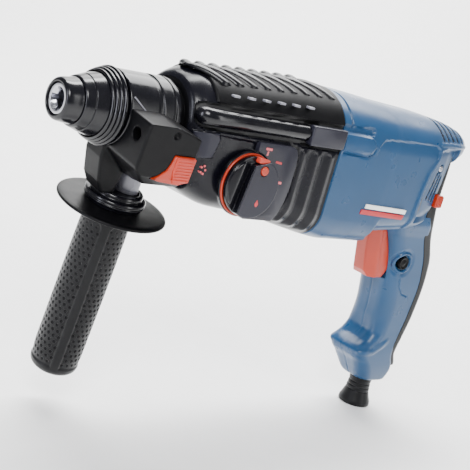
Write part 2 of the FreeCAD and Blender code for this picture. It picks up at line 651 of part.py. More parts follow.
def back_cavity():
    first = station("seam", d.shell_wall, -0.5)
    return [first] + [station(name, d.shell_wall) for name in BACK[1:-1]]


def gear_housing():
    collar_end = d.rim_x + d.shell_wall + 1.5
    body = turned([(NECK_X, NECK_BORE), (NECK_X, d.neck_radius), (d.rim_x, d.neck_radius),
                   (d.rim_x, d.rim_half), (collar_end, d.rim_half), (collar_end, NECK_BORE)])
    shape(ADD, [station(name) for name in FRONT], body)
    shape(TAKE, front_cavity(), body)
    groove(body, [(NECK_X - 1.0, 0.0), (NECK_X - 1.0, NECK_BORE), (collar_end + 1.0, NECK_BORE),
                  (collar_end + 1.0, 0.0)])
    shaft_hole = rod("y", -PLATE_FACE - 3.0, -d.dial_half / 2.0, d.dial_shaft + d.fit_gap,
                     x=KNOB_X, z=d.knob_z)
    publish("gear_housing", cut(body, shaft_hole))


def housing_trim():
    solid = shape(ADD, [station(name) for name in FRONT])
    raised = shape(ADD, [station(name, 0.0, 0.0, d.cover_rise) for name in FRONT[1:]])
    wide = d.seam_half + 6.0
    saddle = common(raised, box((d.rim_x + d.cheek_run + 5.0, SEAM_X - 3.0), (-wide, wide),
                                (d.cover_low, d.seam_top + 9.0)))
    publish("ribbed_cover", cut(saddle, solid))
    clip_start, rail_y = SEAM_X - d.clip_length, d.dial_half - d.rail_sink
    rails = [rod("x", d.rim_x + 1.0, clip_start, d.rail_radius, y=y, z=d.rail_z) for y in (-rail_y, rail_y)]
    publish("side_rails", group(*[cut(rail, solid) for rail in rails]))
    outer, inner = d.seam_half + d.clip_rise, d.seam_half - 9.0
    clips = [box((clip_start, SEAM_X - 0.5), span, (d.clip_low, d.clip_top))
             for span in ((-outer, -inner), (inner, outer))]
    publish("corner_clips", group(*[cut(clip, solid) for clip in clips]))
    plate = box((KNOB_X - 4.0, SEAM_X - d.clip_length - 10.0), (-PLATE_FACE, -d.dial_half + 6.8),
                (d.plate_low, d.plate_top))
    well = rod("y", -PLATE_FACE - 3.0, -20.0, d.dial_radius + d.fit_gap, x=KNOB_X, z=d.knob_z)
    publish("mode_plate", cut(plate, well, solid))


def bearing_plates():
    start, end, wide = SEAM_X - d.plate_run, SEAM_X - d.plate_run + d.plate_width, 90.0
    front = common(shape(ADD, front_cavity()), box((start, end), (-wide, wide), (-wide, wide)))
    seats = [rod("x", start - 1.0, end + 1.0, radius, z=height)
             for radius, height in ((d.bearing_radius, MOTOR_Z), (d.layshaft_radius * 2.0, LAY_Z))]
    publish("gear_case_plate", cut(front, *seats))
    start, end = BACK_BEARING_X, BACK_BEARING_X + d.bearing_width + 1.0
    back = common(shape(ADD, back_cavity()), box((start, end), (-wide, wide), (-wide, wide)))
    publish("motor_end_plate", cut(back, rod("x", start - 1.0, end + 1.0, d.bearing_radius, z=MOTOR_Z)))


def blue_shape(body=None):
    body = shape(ADD, [station(name) for name in BACK], body)
    radii = (d.grip_front_radius, d.grip_back_radius)
    lofted(body, ADD, "XY_Plane", [slice_of_grip(name, 0.0, d.cover_thickness, 0.0, radii)
                                   for name in GRIP])
    return body


def motor_housing():
    body = blue_shape()
    shape(TAKE, back_cavity(), body)
    wall, radii = d.grip_wall, (d.grip_front_radius - d.grip_wall, d.grip_back_radius - d.grip_wall)
    lofted(body, TAKE, "XY_Plane", [slice_of_grip(name, wall, d.cover_thickness + wall, wall, radii)
                                    for name in GRIP[1:-1]])
    gap, side = d.fit_gap, d.neckline_half
    trigger_way = box((GRIP_X - 4.0, LOCK_X + 0.5), (-d.trigger_half - gap, d.trigger_half + gap),
                      (d.web_z - 38.5, d.web_z + 5.0))
    lock_way = rod("y", -d.palm_half - 10.0, -d.palm_half + 7.5, d.lock_radius + gap, x=LOCK_X, z=d.lock_z)
    lever_way = box((LEVER_X - d.lever_half - 0.4, LEVER_X + d.lever_half + 0.4), (-side - 10.0, -side + 9.0),
                    (d.lever_z - d.lever_height - d.lever_travel - gap, d.lever_z + d.lever_height + gap))
    vents = []
    for index in range(5):
        start = SEAM_X + d.vent_run + d.vent_pitch * index
        for near, far in ((-d.palm_half - 20.0, -d.vent_strip), (d.vent_strip, d.palm_half + 20.0)):
            vents.append(box((start, start + d.vent_width), (near, far), (d.vent_low, d.vent_low + 20.0)))
    boot_way = rod("z", d.foot_z - 1.0, d.heel_z + 1.0, d.boot_bore + d.boot_neck, x=BOOT_X)
    pin_end = d.web_half - 2.0
    pivot_pin = rod("y", -pin_end, pin_end, d.pivot_radius, x=PIVOT_X, z=d.pivot_z)
    publish("motor_housing", fuse(cut(body, trigger_way, lock_way, lever_way, boot_way, *vents), pivot_pin))


def handle_cover():
    body = doc.addObject("PartDesign::Body", "cover")
    stations = []
    for name in GRIP[:-1]:
        part = {key: getattr(d, "%s_%s" % (name, key)) for key in ("z", "back", "half")}
        back = GRIP_X + part["back"]
        stations.append((part["z"], part["half"] - d.grip_back_radius, back - d.cover_thickness, back,
                         size(0.6), size(3.2)))
    lofted(body, ADD, "XY_Plane", stations)
    publish("handle_cover", cut(body, blue_shape()))


def front_bearings():
    shaft, seal, race = d.holder_radius + d.run_gap, BAND_X + 3.8, d.rim_x - 21.3
    publish("spindle_seal", ring(seal, seal + 6.0, shaft, NECK_BORE))
    publish("spindle_bearing", bearing(race, size(11.0), shaft, NECK_BORE, size(0.0)))
    bore = d.layshaft_radius + d.run_gap
    publish("layshaft_bush", ring(LAYSHAFT_X + 0.5, LAYSHAFT_X + 0.5 + d.bush_width, bore, bore + d.bush_wall,
                                  LAY_Z))
    publish("layshaft_bearing", bearing(LAYSHAFT_END - 6.0, size(6.0), bore, d.layshaft_radius * 2.0, LAY_Z))


# ---------------------------------------------------------------- motor

def armature():
    shaft_x, shaft_end = SEAM_X - d.motor_pinion_reach, BACK_BEARING_X + d.bearing_width + 2.0
    pinion_end = shaft_x + d.pinion_length
    shaft = turned([(shaft_x, 0.0), (shaft_x, d.pinion_bore), (pinion_end, d.pinion_bore),
                    (pinion_end, d.shaft_radius), (shaft_end, d.shaft_radius), (shaft_end, 0.0)])
    pinion = gear(d.motor_teeth, d.motor_module, shaft_x + 0.5, d.pinion_length - 0.5, size(1.6), MOTOR_Z,
                  180.0 + 180.0 / d.motor_teeth.number)
    publish("armature_shaft", fuse(place(shaft, z=MOTOR_Z), pinion))
    start, end = STATOR_X + 1.0, STATOR_END - 1.0
    core = turned([(start, d.shaft_radius), (start, d.core_radius),
                   (end, d.core_radius), (end, d.shaft_radius)])
    floor, rim = d.core_radius - d.slot_depth, d.core_radius + 1.8
    slot = pocket(core, "YZ_Plane", [(-d.slot_half, floor), (d.slot_half, floor), (d.slot_half, rim),
                                     (-d.slot_half, rim)], 300.0, True)
    slot.Type = "ThroughAll"
    polar(core, slot, 12.0)
    publish("armature_core", place(core, z=MOTOR_Z))
    ends = [(start - d.winding_length, start), (end, end + d.winding_length)]
    publish("armature_winding", group(*[ring(a, b, d.shaft_radius, d.core_radius - d.winding_step, MOTOR_Z)
                                        for a, b in ends]))
    publish("commutator", ring(COMMUTATOR_X, COMMUTATOR_X + d.commutator_length, d.shaft_radius,
                               d.commutator_radius, MOTOR_Z))


def cooling_fan():
    start, end, hub = SEAM_X + d.fan_run, SEAM_X + d.fan_run + d.fan_width, d.shaft_radius + 6.0
    tip = d.belly_half - d.shell_wall - d.stator_clear - d.fan_clear
    body = turned([(start, d.shaft_radius), (start, hub), (end - 1.6, hub), (end - 1.6, tip), (end, tip),
                   (end, d.shaft_radius)])
    sketch = polygon(sketch_on(body, "YZ_Plane", start + 1.0),
                     [(-0.8, hub - 1.0), (0.8, hub - 1.0), (0.8, tip - 0.5), (-0.8, tip - 0.5)])
    blade = body.newObject("PartDesign::Pad", "blade")
    blade.Profile = sketch
    bind(blade, "Length", d.fan_width - 2.0)
    polar(body, blade, d.fan_blades)
    publish("cooling_fan", place(body, z=MOTOR_Z))


def stator():
    bore, radius = d.core_radius + d.air_gap, d.belly_half - d.shell_wall - d.stator_clear
    publish("stator_core", ring(STATOR_X, STATOR_END, bore, radius, MOTOR_Z))
    publish("field_coils", group(*[ring(a, b, bore + 1.6, radius - 2.0, MOTOR_Z)
                                   for a, b in ((STATOR_X - d.coil_width, STATOR_X),
                                                (STATOR_END, STATOR_END + d.coil_width))]))


def brush_gear():
    inner, start = d.commutator_radius + d.run_gap, COMMUTATOR_X + 2.0
    end, wall, half = start + d.brush_width, d.holder_wall, d.brush_half
    brushes, holders = [], []
    for side in (-1, 1):
        def span(low, high):
            return (low, high) if side > 0 else (-size(high), -size(low))
        brushes.append(box((start, end), span(inner, d.brush_reach), (MOTOR_Z - half, MOTOR_Z + half)))
        case = box((start - wall, end + wall), span(inner + 2.45, d.brush_reach + 4.0),
                   (MOTOR_Z - half - wall, MOTOR_Z + half + wall))
        room = box((start, end), span(inner + 1.45, d.brush_reach + 2.5), (MOTOR_Z - half, MOTOR_Z + half))
        holders.append(cut(case, room))
    publish("carbon_brushes", group(*brushes))
    publish("brush_holders", group(*holders))


def motor_bearings():
    bore = d.shaft_radius + d.run_gap
    publish("motor_bearings", group(*[bearing(start, d.bearing_width, bore, d.bearing_radius, MOTOR_Z)
                                      for start in (SEAM_X - d.front_bearing_run, BACK_BEARING_X)]))


# ---------------------------------------------------------------- side handle

def swivelled(item, x=0.0):
    """Turns a sub-part of the side handle about the spindle axis by the handle's stored angle."""
    spin = FreeCAD.Rotation(X_AXIS, d.handle_swivel.number)
    item.Placement = FreeCAD.Placement(FreeCAD.Vector(size(x).number, 0, 0), spin)
    bind(item, "Placement.Base.x", x)
    bind(item, "Placement.Rotation.Angle", d.handle_swivel)
    return item


def upright(points):
    """A body turned about its own Z from (radius, height) corners."""
    body = doc.addObject("PartDesign::Body", "body")
    sketch = polygon(sketch_on(body, "XZ_Plane"), points)
    feature = body.newObject("PartDesign::Revolution", "turned")
    feature.Profile = sketch
    feature.ReferenceAxis = (sketch, ["V_Axis"])
    feature.Angle = 360
    return body


def clamp_band():
    groove_end = HANDLE_X - 4.0
    groove_start, floor = groove_end - 3.5, BAND_RADIUS - d.band_groove
    publish("clamp_band", swivelled(turned([(BAND_X, BAND_BORE), (BAND_X, BAND_RADIUS),
                                            (groove_start, BAND_RADIUS), (groove_start, floor),
                                            (groove_end, floor), (groove_end, BAND_RADIUS),
                                            (BAND_END, BAND_RADIUS), (BAND_END, BAND_BORE)])))


def handle_bracket():
    front, back, reach, top = BAND_X + 0.6, BRACKET_END, d.bracket_reach, d.bracket_top
    side, floor = BAND_RADIUS + 2.0, -BAND_RADIUS - 13.5
    outline = [(-18.0, top), (-reach, top), (-reach, floor + 12.0), (-reach + 10.0, floor + 3.5),
               (-14.0, floor), (12.0, floor), (20.0, floor + 9.0), (side, -8.0), (side - 5.5, -4.0)]
    body = doc.addObject("PartDesign::Body", "bracket")
    sketch = polygon(sketch_on(body, "YZ_Plane", front), outline)
    feature = body.newObject("PartDesign::Pad", "pad")
    feature.Profile = sketch
    bind(feature, "Length", back - front)
    leg_x = BAND_X + 1.8
    legs = [box((leg_x, leg_x + d.leg_length), (-d.leg_half, d.leg_half), (d.leg_end, -30.0)),
            rod("z", d.leg_end, -30.0, d.post_radius, x=POST_X),
            rod("z", d.leg_end, d.leg_end + 8.0, d.post_radius + 1.4, x=POST_X - 0.4)]
    button_x, button_end = button_span()
    button_way = box((button_x - d.fit_gap, button_end + 5.0), (-reach - 4.2, -reach + d.button_depth),
                     (d.button_low, d.button_top))
    rod_way = rod("x", front - 1.0, back + 1.0, d.rod_radius, y=-reach + d.rod_inset, z=d.rod_z)
    hollow = rod("x", front - 1.0, back + 1.0, BAND_RADIUS)
    publish("handle_bracket", swivelled(cut(fuse(body, *legs), hollow, button_way, rod_way)))


def button_span():
    """Where the depth-stop button starts and ends along X."""
    end = BRACKET_END - 0.2
    return end - d.button_length, end


def depth_button():
    gap, middle = d.fit_gap, (d.button_low + d.button_top) / 2.0
    start, end = button_span()
    inner = -d.bracket_reach + d.button_depth - d.button_travel - 0.4
    block = box((start, end), (-d.bracket_reach - d.button_rise, inner),
                (d.button_low + gap, d.button_top - gap))
    seat_x = start + 9.5
    seat = rod("y", inner - 2.0, inner + 1.0, d.spring_radius + 0.8, x=seat_x, z=middle)
    publish("depth_stop_button", swivelled(cut(block, seat)))
    turns = []
    for index in range(3):
        item = doc.addObject("Part::Torus", "turn")
        bind(item, "Radius1", d.spring_radius)
        bind(item, "Radius2", 0.35)
        turns.append(place(item, seat_x, inner - 1.6 + index * 2.1, middle, TURN["y"]))
    publish("button_spring", swivelled(group(*turns)))


def handle_stem():
    bolt, foot, radius, seat = d.clamp_bolt_radius, COLLAR_FOOT, d.collar_radius, d.collar_seat
    collar = upright([(bolt, d.leg_end), (seat, d.leg_end), (seat, d.leg_end - 1.8),
                      (radius, d.leg_end - 2.6), (radius, foot + 3.0), (radius - 1.6, foot + 2.2),
                      (radius - 1.6, foot), (bolt, foot)])
    publish("handle_collar", swivelled(collar, HANDLE_X))
    tip = d.leg_end - d.clamp_bolt_length
    publish("clamp_bolt", swivelled(upright([(0.0, d.leg_end), (bolt, d.leg_end), (bolt, tip), (0.0, tip)]),
                                    HANDLE_X))


def side_grip():
    bore, top = d.clamp_bolt_radius + d.fit_gap, COLLAR_FOOT - d.fit_gap
    under, hole_end = top - d.guard_thickness, d.leg_end - d.clamp_bolt_length - d.bolt_end_gap
    rim, end = d.guard_radius, top - d.guard_thickness - d.side_grip_length
    guard = upright([(bore, top), (rim - 1.2, top - 0.5), (rim, top - 1.2), (rim, under + 1.0),
                     (rim - 1.5, under), (bore, under)])
    publish("hand_guard", swivelled(guard, HANDLE_X))
    core, skin = d.side_grip_radius - d.soft_thickness, d.side_grip_radius
    publish("grip_core", swivelled(upright([(bore, under), (core, under), (core, end + 4.0), (0.0, end + 4.0),
                                            (0.0, hole_end), (bore, hole_end)]), HANDLE_X))
    soft = upright([(core, under), (d.grip_top_radius, under), (skin - 0.6, under - 17.65),
                    (skin, under - 63.65), (skin, end + 9.0), (skin - 1.6, end + 3.0), (skin - 5.0, end),
                    (0.0, end), (0.0, end + 4.0), (core, end + 4.0)])
    publish("soft_grip", swivelled(soft, HANDLE_X))


# ---------------------------------------------------------------- controls and cable entry

def mode_dial():
    x, z, face, radius = KNOB_X, d.knob_z, -PLATE_FACE, d.dial_radius
    disc = rod("y", face - 2.0, face + 2.6, radius, x=x, z=z)
    shaft = rod("y", face + 2.6, face + 12.0, d.dial_shaft, x=x, z=z)
    publish("dial_ring", fuse(disc, shaft))
    knob = rod("y", -KNOB_FACE, face - 2.0, radius - d.dial_step, x=x, z=z)
    scoop = box((x - radius - 3.5, x - d.wing_half), (-KNOB_FACE - 1.0, face - 4.0), (z - 25.0, z + 25.0))
    button = {"x": x + 4.0, "z": z + d.release_offset}
    hole = rod("y", -KNOB_FACE - 1.0, face - 4.0, d.release_radius + d.fit_gap, **button)
    publish("dial_knob", cut(knob, scoop, hole))
    publish("dial_release", rod("y", -KNOB_FACE - 0.8, face - 6.0, d.release_radius, **button))


def trigger():
    half, nose, x = d.trigger_half, d.trigger_nose, GRIP_X
    outline = [(-3.0, -60.5), (4.0, -58.5), (23.0, -58.5), (28.5, -66.0), (28.5, -90.0), (22.0, -99.0),
               (9.0, -99.5), (5.5, -95.0)]
    body = padded([(x + a, d.web_z + b + 62.0) for a, b in outline], "XZ_Plane", half)
    plan = [(-10.0, -half - 1.0), (-3.0, -half - 1.0), (9.0, -half - 1.0), (9.0, -half), (3.0, -nose),
            (-10.0, -nose)]
    for sign in (1.0, -1.0):
        pocket(body, "XY_Plane", [(x + a, size(b) * sign) for a, b in plan], 250.0, both=True)
    hole = rod("y", -half - 1.0, half + 1.0, d.pivot_radius + d.run_gap, x=PIVOT_X, z=d.pivot_z)
    publish("trigger", cut(body, hole))


def lock_on_button():
    face, inner = -(d.palm_half + d.lock_rise), -d.palm_half + 4.5
    publish("lock_on_button", rod("y", face, inner, d.lock_radius, x=LOCK_X, z=d.lock_z))


def direction_lever():
    x, z, side = LEVER_X, d.lever_z, d.neckline_half
    tip = box((x - d.lever_half, x + d.lever_half), (-side - 6.0, -side),
              (z - d.lever_height, z + d.lever_height))
    stem = box((x - 2.5, x + 2.5), (-side, -side + 6.5), (z - 3.0, z + 3.0))
    publish("direction_lever", fuse(tip, stem))


def electrics():
    inner = d.palm_half - d.grip_wall
    publish("switch_module", box((GRIP_X + 34.5, GRIP_X + 52.0), (-inner + 6.0, inner - 6.0),
                                 (d.palm_z - 14.0, d.palm_z + 20.0)))
    publish("capacitor", rod("z", d.waist_z, d.waist_z + 20.0, 7.5, x=GRIP_X + 47.0))
    top = d.heel_z + d.clamp_above + d.clamp_width
    bar = box((GRIP_X + d.lip_back - 22.5, GRIP_X + d.lip_back - 8.0), (-d.clamp_half, d.clamp_half),
              (top - d.clamp_width, top))
    spots = (-d.clamp_pitch, d.clamp_pitch)
    holes = [rod("z", top - 9.0, top + 6.0, d.screw_radius, x=BOOT_X, y=y) for y in spots]
    publish("cable_clamp", cut(bar, *holes))
    publish("clamp_screws", group(*[screw("z", top, d.screw_length, BOOT_X, y, 0.0, -1.0) for y in spots]))


def cable_boot():
    bore, foot, flange = d.boot_bore, d.foot_z, d.heel_z + 3.0
    neck, wide, end = bore + d.boot_neck, bore + d.boot_flange, d.foot_z - d.boot_length
    flare, waist = bore + d.boot_flare, bore + d.boot_waist
    boot = upright([(bore, flange), (wide, flange), (wide, d.heel_z), (neck, d.heel_z), (neck, foot),
                    (bore + d.boot_wall, foot), (waist, foot - 7.0), (waist + 1.2, foot - 15.0),
                    (flare, end + 2.5), (flare - 0.8, end), (bore, end)])
    publish("cable_boot", place(boot, BOOT_X))


def check_and_export():
    """Stops on any failed feature, then writes one STEP file for each sub-part."""
    for item in doc.Objects:
        if {"Invalid", "Error"} & set(item.State):
            raise RuntimeError("%s (%s) failed: %s" % (item.Name, item.Label, item.State))
    os.makedirs("parts", exist_ok=True)
    for name, item in NODES.items():
        if item.Shape.isNull() or not item.Shape.isValid() or not item.Shape.Solids:
            raise RuntimeError("%s has no valid solid" % name)
        item.Shape.exportStep("parts/%s.step" % name)
    print("%d sub-parts written" % len(NODES))


BUILDERS = (tool_holder, dust_cap, locking_sleeve, backing_ring, hammer_tube, percussion_parts,
            wobble_drive, layshaft, gear_housing, housing_trim, bearing_plates, motor_housing,
            handle_cover, front_bearings, armature, cooling_fan, stator, brush_gear, motor_bearings,
            clamp_band, handle_bracket, depth_button, handle_stem, side_grip, mode_dial, trigger,
            lock_on_button, direction_lever, electrics, cable_boot)

for build in BUILDERS:
    build()
    doc.recompute()
check_and_export()
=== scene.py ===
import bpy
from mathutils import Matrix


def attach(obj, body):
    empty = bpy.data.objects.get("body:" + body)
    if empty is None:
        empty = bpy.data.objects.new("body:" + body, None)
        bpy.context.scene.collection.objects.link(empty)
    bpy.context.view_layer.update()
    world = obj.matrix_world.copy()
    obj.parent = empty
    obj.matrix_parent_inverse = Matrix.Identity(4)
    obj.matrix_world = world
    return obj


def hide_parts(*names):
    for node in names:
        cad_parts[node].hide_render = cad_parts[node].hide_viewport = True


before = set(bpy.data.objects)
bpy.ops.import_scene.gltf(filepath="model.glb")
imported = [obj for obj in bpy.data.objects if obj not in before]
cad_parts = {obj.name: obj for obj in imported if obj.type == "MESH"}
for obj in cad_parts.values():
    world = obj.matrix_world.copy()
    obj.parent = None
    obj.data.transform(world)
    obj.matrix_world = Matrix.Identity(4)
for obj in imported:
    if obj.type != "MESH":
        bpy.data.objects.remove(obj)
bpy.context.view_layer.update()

import math

import bmesh
import bpy
import numpy as np
from mathutils import Matrix, Vector

# Rotary hammer with a pistol grip. +X runs back from the tool socket, -Y is the side with the dial, +Z is up.
# Lengths are written in millimetres and turned into metres where a mesh, light or property is made.

bl_info = {
    "name": "Rotary hammer looks",
    "version": (1, 0, 0),
    "blender": (4, 5, 0),
    "location": "View3D > Sidebar > Hammer",
    "description": "Builds the outer pieces, materials and stage of a rotary hammer",
    "category": "Object",
}

MM = 0.001
SWIVEL = math.radians(9.1)    # how far the side handle leans about the spindle
HANDLE_X = 65.5
DIAL = (124.5, -28.5)         # x, z of the dial axis
DIAL_LEAN = math.radians(8.8)  # how far the dial's wing leans from upright
PLATE_Y = -41.0
RIM_X, SEAM_X, STERN_X = 79.3, 204.0, 369.0
LOCK = (333.5, -83.0)         # x, z of the lock-on button
BOOT_X = 350.5
FLOOR_Z = -211.5
SIDES = (-1.0, 1.0)
CREASE = 35.0                 # degrees: sharper edges stay sharp on turned and flat-faced pieces
VIEW_TURN, VIEW_RISE, VIEW_ROLL = (math.radians(angle) for angle in (-44.05, 12.71, 15.94))


# ---- colours and shader nodes

def colour(code):
    """Linear colour from an sRGB hex code."""
    parts = [int(code[i:i + 2], 16) / 255 for i in (1, 3, 5)]
    return tuple(c / 12.92 if c <= 0.04045 else ((c + 0.055) / 1.055) ** 2.4 for c in parts)


def toned(linear, gain=1.0):
    """A linear colour made lighter or darker, with full opacity."""
    return tuple(min(1.0, c * gain) for c in linear) + (1.0,)


def add(tree, kind, inputs=None, **settings):
    """Adds a node, sets its properties, and links or sets its inputs."""
    made = tree.nodes.new(kind)
    for key, value in settings.items():
        setattr(made, key, value)
    for key, value in (inputs or {}).items():
        if isinstance(value, bpy.types.NodeSocket):
            tree.links.new(value, made.inputs[key])
        else:
            made.inputs[key].default_value = value
    return made


def per_mm(size):
    """Texture scale that gives features of that size in millimetres."""
    return 1.0 / (size * MM)


def surface(name, shade, rough, grain=0.35, depth=0.012, mottle=0.10, wear=0.25, worn=None, coat=0.0,
        metallic=0.0, stretch=(1.0, 1.0, 1.0), specular=0.5, sheen=0.0):
    """A solid material: colour clouds, worn edges, uneven polish and a fine grain. Sizes are in mm."""
    cloud, chip, smear, edge, smudge = 22.0, 2.2, 14.0, 0.6, 0.05
    shade = colour(shade) if isinstance(shade, str) else tuple(shade)
    rubbed_shade = toned(colour(worn)) if worn else toned(shade, 1.8)
    middle = {"From Min": 0.3, "From Max": 0.7}
    material = bpy.data.materials.new(name)
    material.use_nodes = True
    tree = material.node_tree
    tree.nodes.clear()
    place = add(tree, "ShaderNodeTexCoord").outputs["Object"]
    drawn = add(tree, "ShaderNodeMapping", {"Vector": place, "Scale": stretch}).outputs["Vector"]
    clouds = add(tree, "ShaderNodeTexNoise", {"Vector": place, "Scale": per_mm(cloud), "Detail": 4.0})
    share = add(tree, "ShaderNodeMapRange", {"Value": clouds.outputs["Fac"], "To Min": 0.0, "To Max": 1.0,
            **middle})
    base = add(tree, "ShaderNodeMix", {0: share.outputs["Result"], 6: toned(shade, 1.0 - mottle),
            7: toned(shade, 1.0 + mottle)}, data_type="RGBA")
    flat = add(tree, "ShaderNodeNewGeometry").outputs["Normal"]
    eased_edge = add(tree, "ShaderNodeBevel", {"Radius": edge * MM}, samples=4).outputs["Normal"]
    turned = add(tree, "ShaderNodeVectorMath", {0: flat, 1: eased_edge}, operation="DOT_PRODUCT")
    sharp = add(tree, "ShaderNodeMapRange", {"Value": turned.outputs["Value"], "From Min": 0.86,
            "From Max": 0.985, "To Min": wear, "To Max": 0.0})
    chips = add(tree, "ShaderNodeTexNoise", {"Vector": place, "Scale": per_mm(chip), "Detail": 5.0})
    chipped = add(tree, "ShaderNodeMapRange", {"Value": chips.outputs["Fac"], "To Min": 0.2, "To Max": 1.0,
            **middle})
    rubbed = add(tree, "ShaderNodeMath", {0: sharp.outputs["Result"], 1: chipped.outputs["Result"]},
            operation="MULTIPLY")
    base = add(tree, "ShaderNodeMix", {0: rubbed.outputs[0], 6: base.outputs[2], 7: rubbed_shade},
            data_type="RGBA")
    smears = add(tree, "ShaderNodeTexNoise", {"Vector": place, "Scale": per_mm(smear), "Detail": 2.0})
    polish = add(tree, "ShaderNodeMapRange", {"Value": smears.outputs["Fac"],
            "To Min": max(0.03, rough - smudge), "To Max": rough + smudge, **middle})
    fine = add(tree, "ShaderNodeTexNoise", {"Vector": drawn, "Scale": per_mm(grain), "Detail": 2.0})
    bump = add(tree, "ShaderNodeBump", {"Height": fine.outputs["Fac"], "Strength": 0.6,
            "Distance": depth * MM})
    shader = add(tree, "ShaderNodeBsdfPrincipled", {
        "Base Color": base.outputs[2], "Roughness": polish.outputs["Result"],
        "Normal": bump.outputs["Normal"],
        "Metallic": metallic, "Coat Weight": coat, "Coat Roughness": 0.08, "Specular IOR Level": specular,
        "Sheen Weight": sheen})
    out = add(tree, "ShaderNodeOutputMaterial")
    tree.links.new(shader.outputs["BSDF"], out.inputs["Surface"])
    return material


def make_materials():
    """Every finish by name."""
    sizes = settings()
    # Glossy black ABS, polished mould: chuck covers, clamp band, collar, dial and rails.
    surface("polished_black_abs", "#0a0a0f", 0.19, 0.6, 0.003, specular=0.4, worn="#1c1c24")
    # Glass-filled nylon, matt: bracket, guard, neck, lock-on button and the ribbed cover.
    surface("black_glass_nylon", "#08080a", 0.42, 0.4, 0.01, specular=0.12, worn="#1e1e22")
    # Slate nylon with a satin spark-eroded face: gear housing.
    surface("slate_nylon", "#0b0b12", 0.25, 0.45, 0.003, specular=0.22, worn="#2a2a36")
    # The lighter slate face of the icon plate and the dial's wing.
    surface("slate_face_nylon", "#20202a", 0.36, 0.4, 0.004, specular=0.3, worn="#3a3a48")
    # Black nylon ribs of the cover, a little glossier than the cover itself.
    surface("ribbed_grey_nylon", "#0c0c10", 0.26, 0.4, 0.012, specular=0.3, worn="#2a2a32")
    # Blue nylon, fine satin texture: motor housing and grip.
    surface("blue_nylon", sizes.shell_colour, 0.32, 0.4, 0.0015, mottle=0.05, specular=0.4, worn="#2b5c8c")
    # Red ABS: trigger, slider, depth-stop button and dial ring.
    surface("moulded_red_abs", sizes.accent_colour, 0.34, 0.5, 0.008, mottle=0.06, worn="#b8442c")
    # The paler ribbed thumb face of the depth-stop button.
    surface("red_pale_abs", "#b5301a", 0.40, 0.5, 0.008, mottle=0.05, worn="#cc5a44")
    # Soft thermoplastic rubber over the grips.
    surface("soft_black_tpe", "#09090b", 0.44, 0.7, 0.02, specular=0.16, worn="#1e1e24", sheen=0.15)
    # Ground and polished tool steel: tool holder, bearings and screws.
    surface("ground_steel", "#b9b9bf", 0.22, 0.25, 0.004, metallic=1.0, stretch=(1, 9, 9), mottle=0.05)
    # Hardened gear steel, oiled.
    surface("oiled_gear_steel", "#6d6d70", 0.34, 0.3, 0.006, metallic=1.0, mottle=0.12)
    # Drawn spring wire.
    surface("drawn_spring_wire", "#85858a", 0.3, 0.2, 0.004, metallic=1.0)
    # Stamped lamination stack: fine lines across the shaft.
    surface("stamped_lamination", "#4c4c50", 0.5, 0.5, 0.05, metallic=0.8, stretch=(8, 0.4, 0.4))
    # Enamelled copper winding wire.
    surface("enamelled_copper", "#a8592c", 0.34, 0.6, 0.06, metallic=0.7, stretch=(3, 0.5, 3))
    # Stamped brass of the brush holders and the bush.
    surface("stamped_brass", "#c9a24e", 0.3, 0.3, 0.004, metallic=1.0)
    # Pressed carbon.
    surface("pressed_carbon", "#1b1b1c", 0.6, 0.25, 0.02)
    # Die-cast aluminium with a blasted skin.
    surface("blasted_aluminium", "#a5a6a8", 0.5, 0.5, 0.04, metallic=1.0)
    # Plain moulded plastic of inner parts.
    surface("inner_nylon", "#3b3b3f", 0.5, 0.4, 0.02)
    # Glossy grey ABS of the post sleeve; the same grey also paints the highlights: the dashes under the cover
    # ribs and the chevron on the band.
    surface("grey_gloss_and_painted_highlight", "#73737c", 0.26, 0.6, 0.004, coat=0.2, worn="#c8c8d0")
    # Printed inks of the marks.
    surface("red_print_ink", "#b3252c", 0.45, 0.5, 0.004, mottle=0.04)
    surface("pink_print_ink", "#cf5a5f", 0.45, 0.5, 0.004, mottle=0.04)
    surface("white_print_ink", "#f2f2ee", 0.4, 0.5, 0.004, mottle=0.02)
    # Painted shade in a nylon finish: near-black on the faces of vents, slots, gaps, grooves and recesses,
    # where shadow falls.
    surface("painted_shade_black", "#0b0b0d", 0.6, 0.5, 0.02)


# ---- outlines and profiles

def softened(points, radius=0.4, steps=4, closed=True):
    """Rounds the corners of an outline. A third value is that corner's own radius."""
    count, out = len(points), []
    for index, point in enumerate(points):
        here = np.array(point[:2], float)
        reach = point[2] if len(point) > 2 else radius
        if not closed and index in (0, count - 1):
            out.append(tuple(here))
            continue
        before, after = (np.array(points[(index + k) % count][:2], float) - here for k in (-1, 1))
        a, b = np.linalg.norm(before), np.linalg.norm(after)
        cut = min(reach, a * 0.48, b * 0.48)
        if cut < 1e-4:
            out.append(tuple(here))
            continue
        start, end = here + before / a * cut, here + after / b * cut
        for t in np.linspace(0, 1, steps + 1):
            out.append(tuple((1 - t) ** 2 * start + 2 * t * (1 - t) * here + t * t * end))
    return out


def dense(points, longest, closed=True):
    """Splits long sides of an outline."""
    out = []
    count = len(points)
    for index in range(count if closed else count - 1):
        a, b = np.array(points[index]), np.array(points[(index + 1) % count])
        parts = max(1, int(math.ceil(np.linalg.norm(b - a) / longest)))
        out += [tuple(a + (b - a) * k / parts) for k in range(parts)]
    return out if closed else out + [tuple(points[-1])]


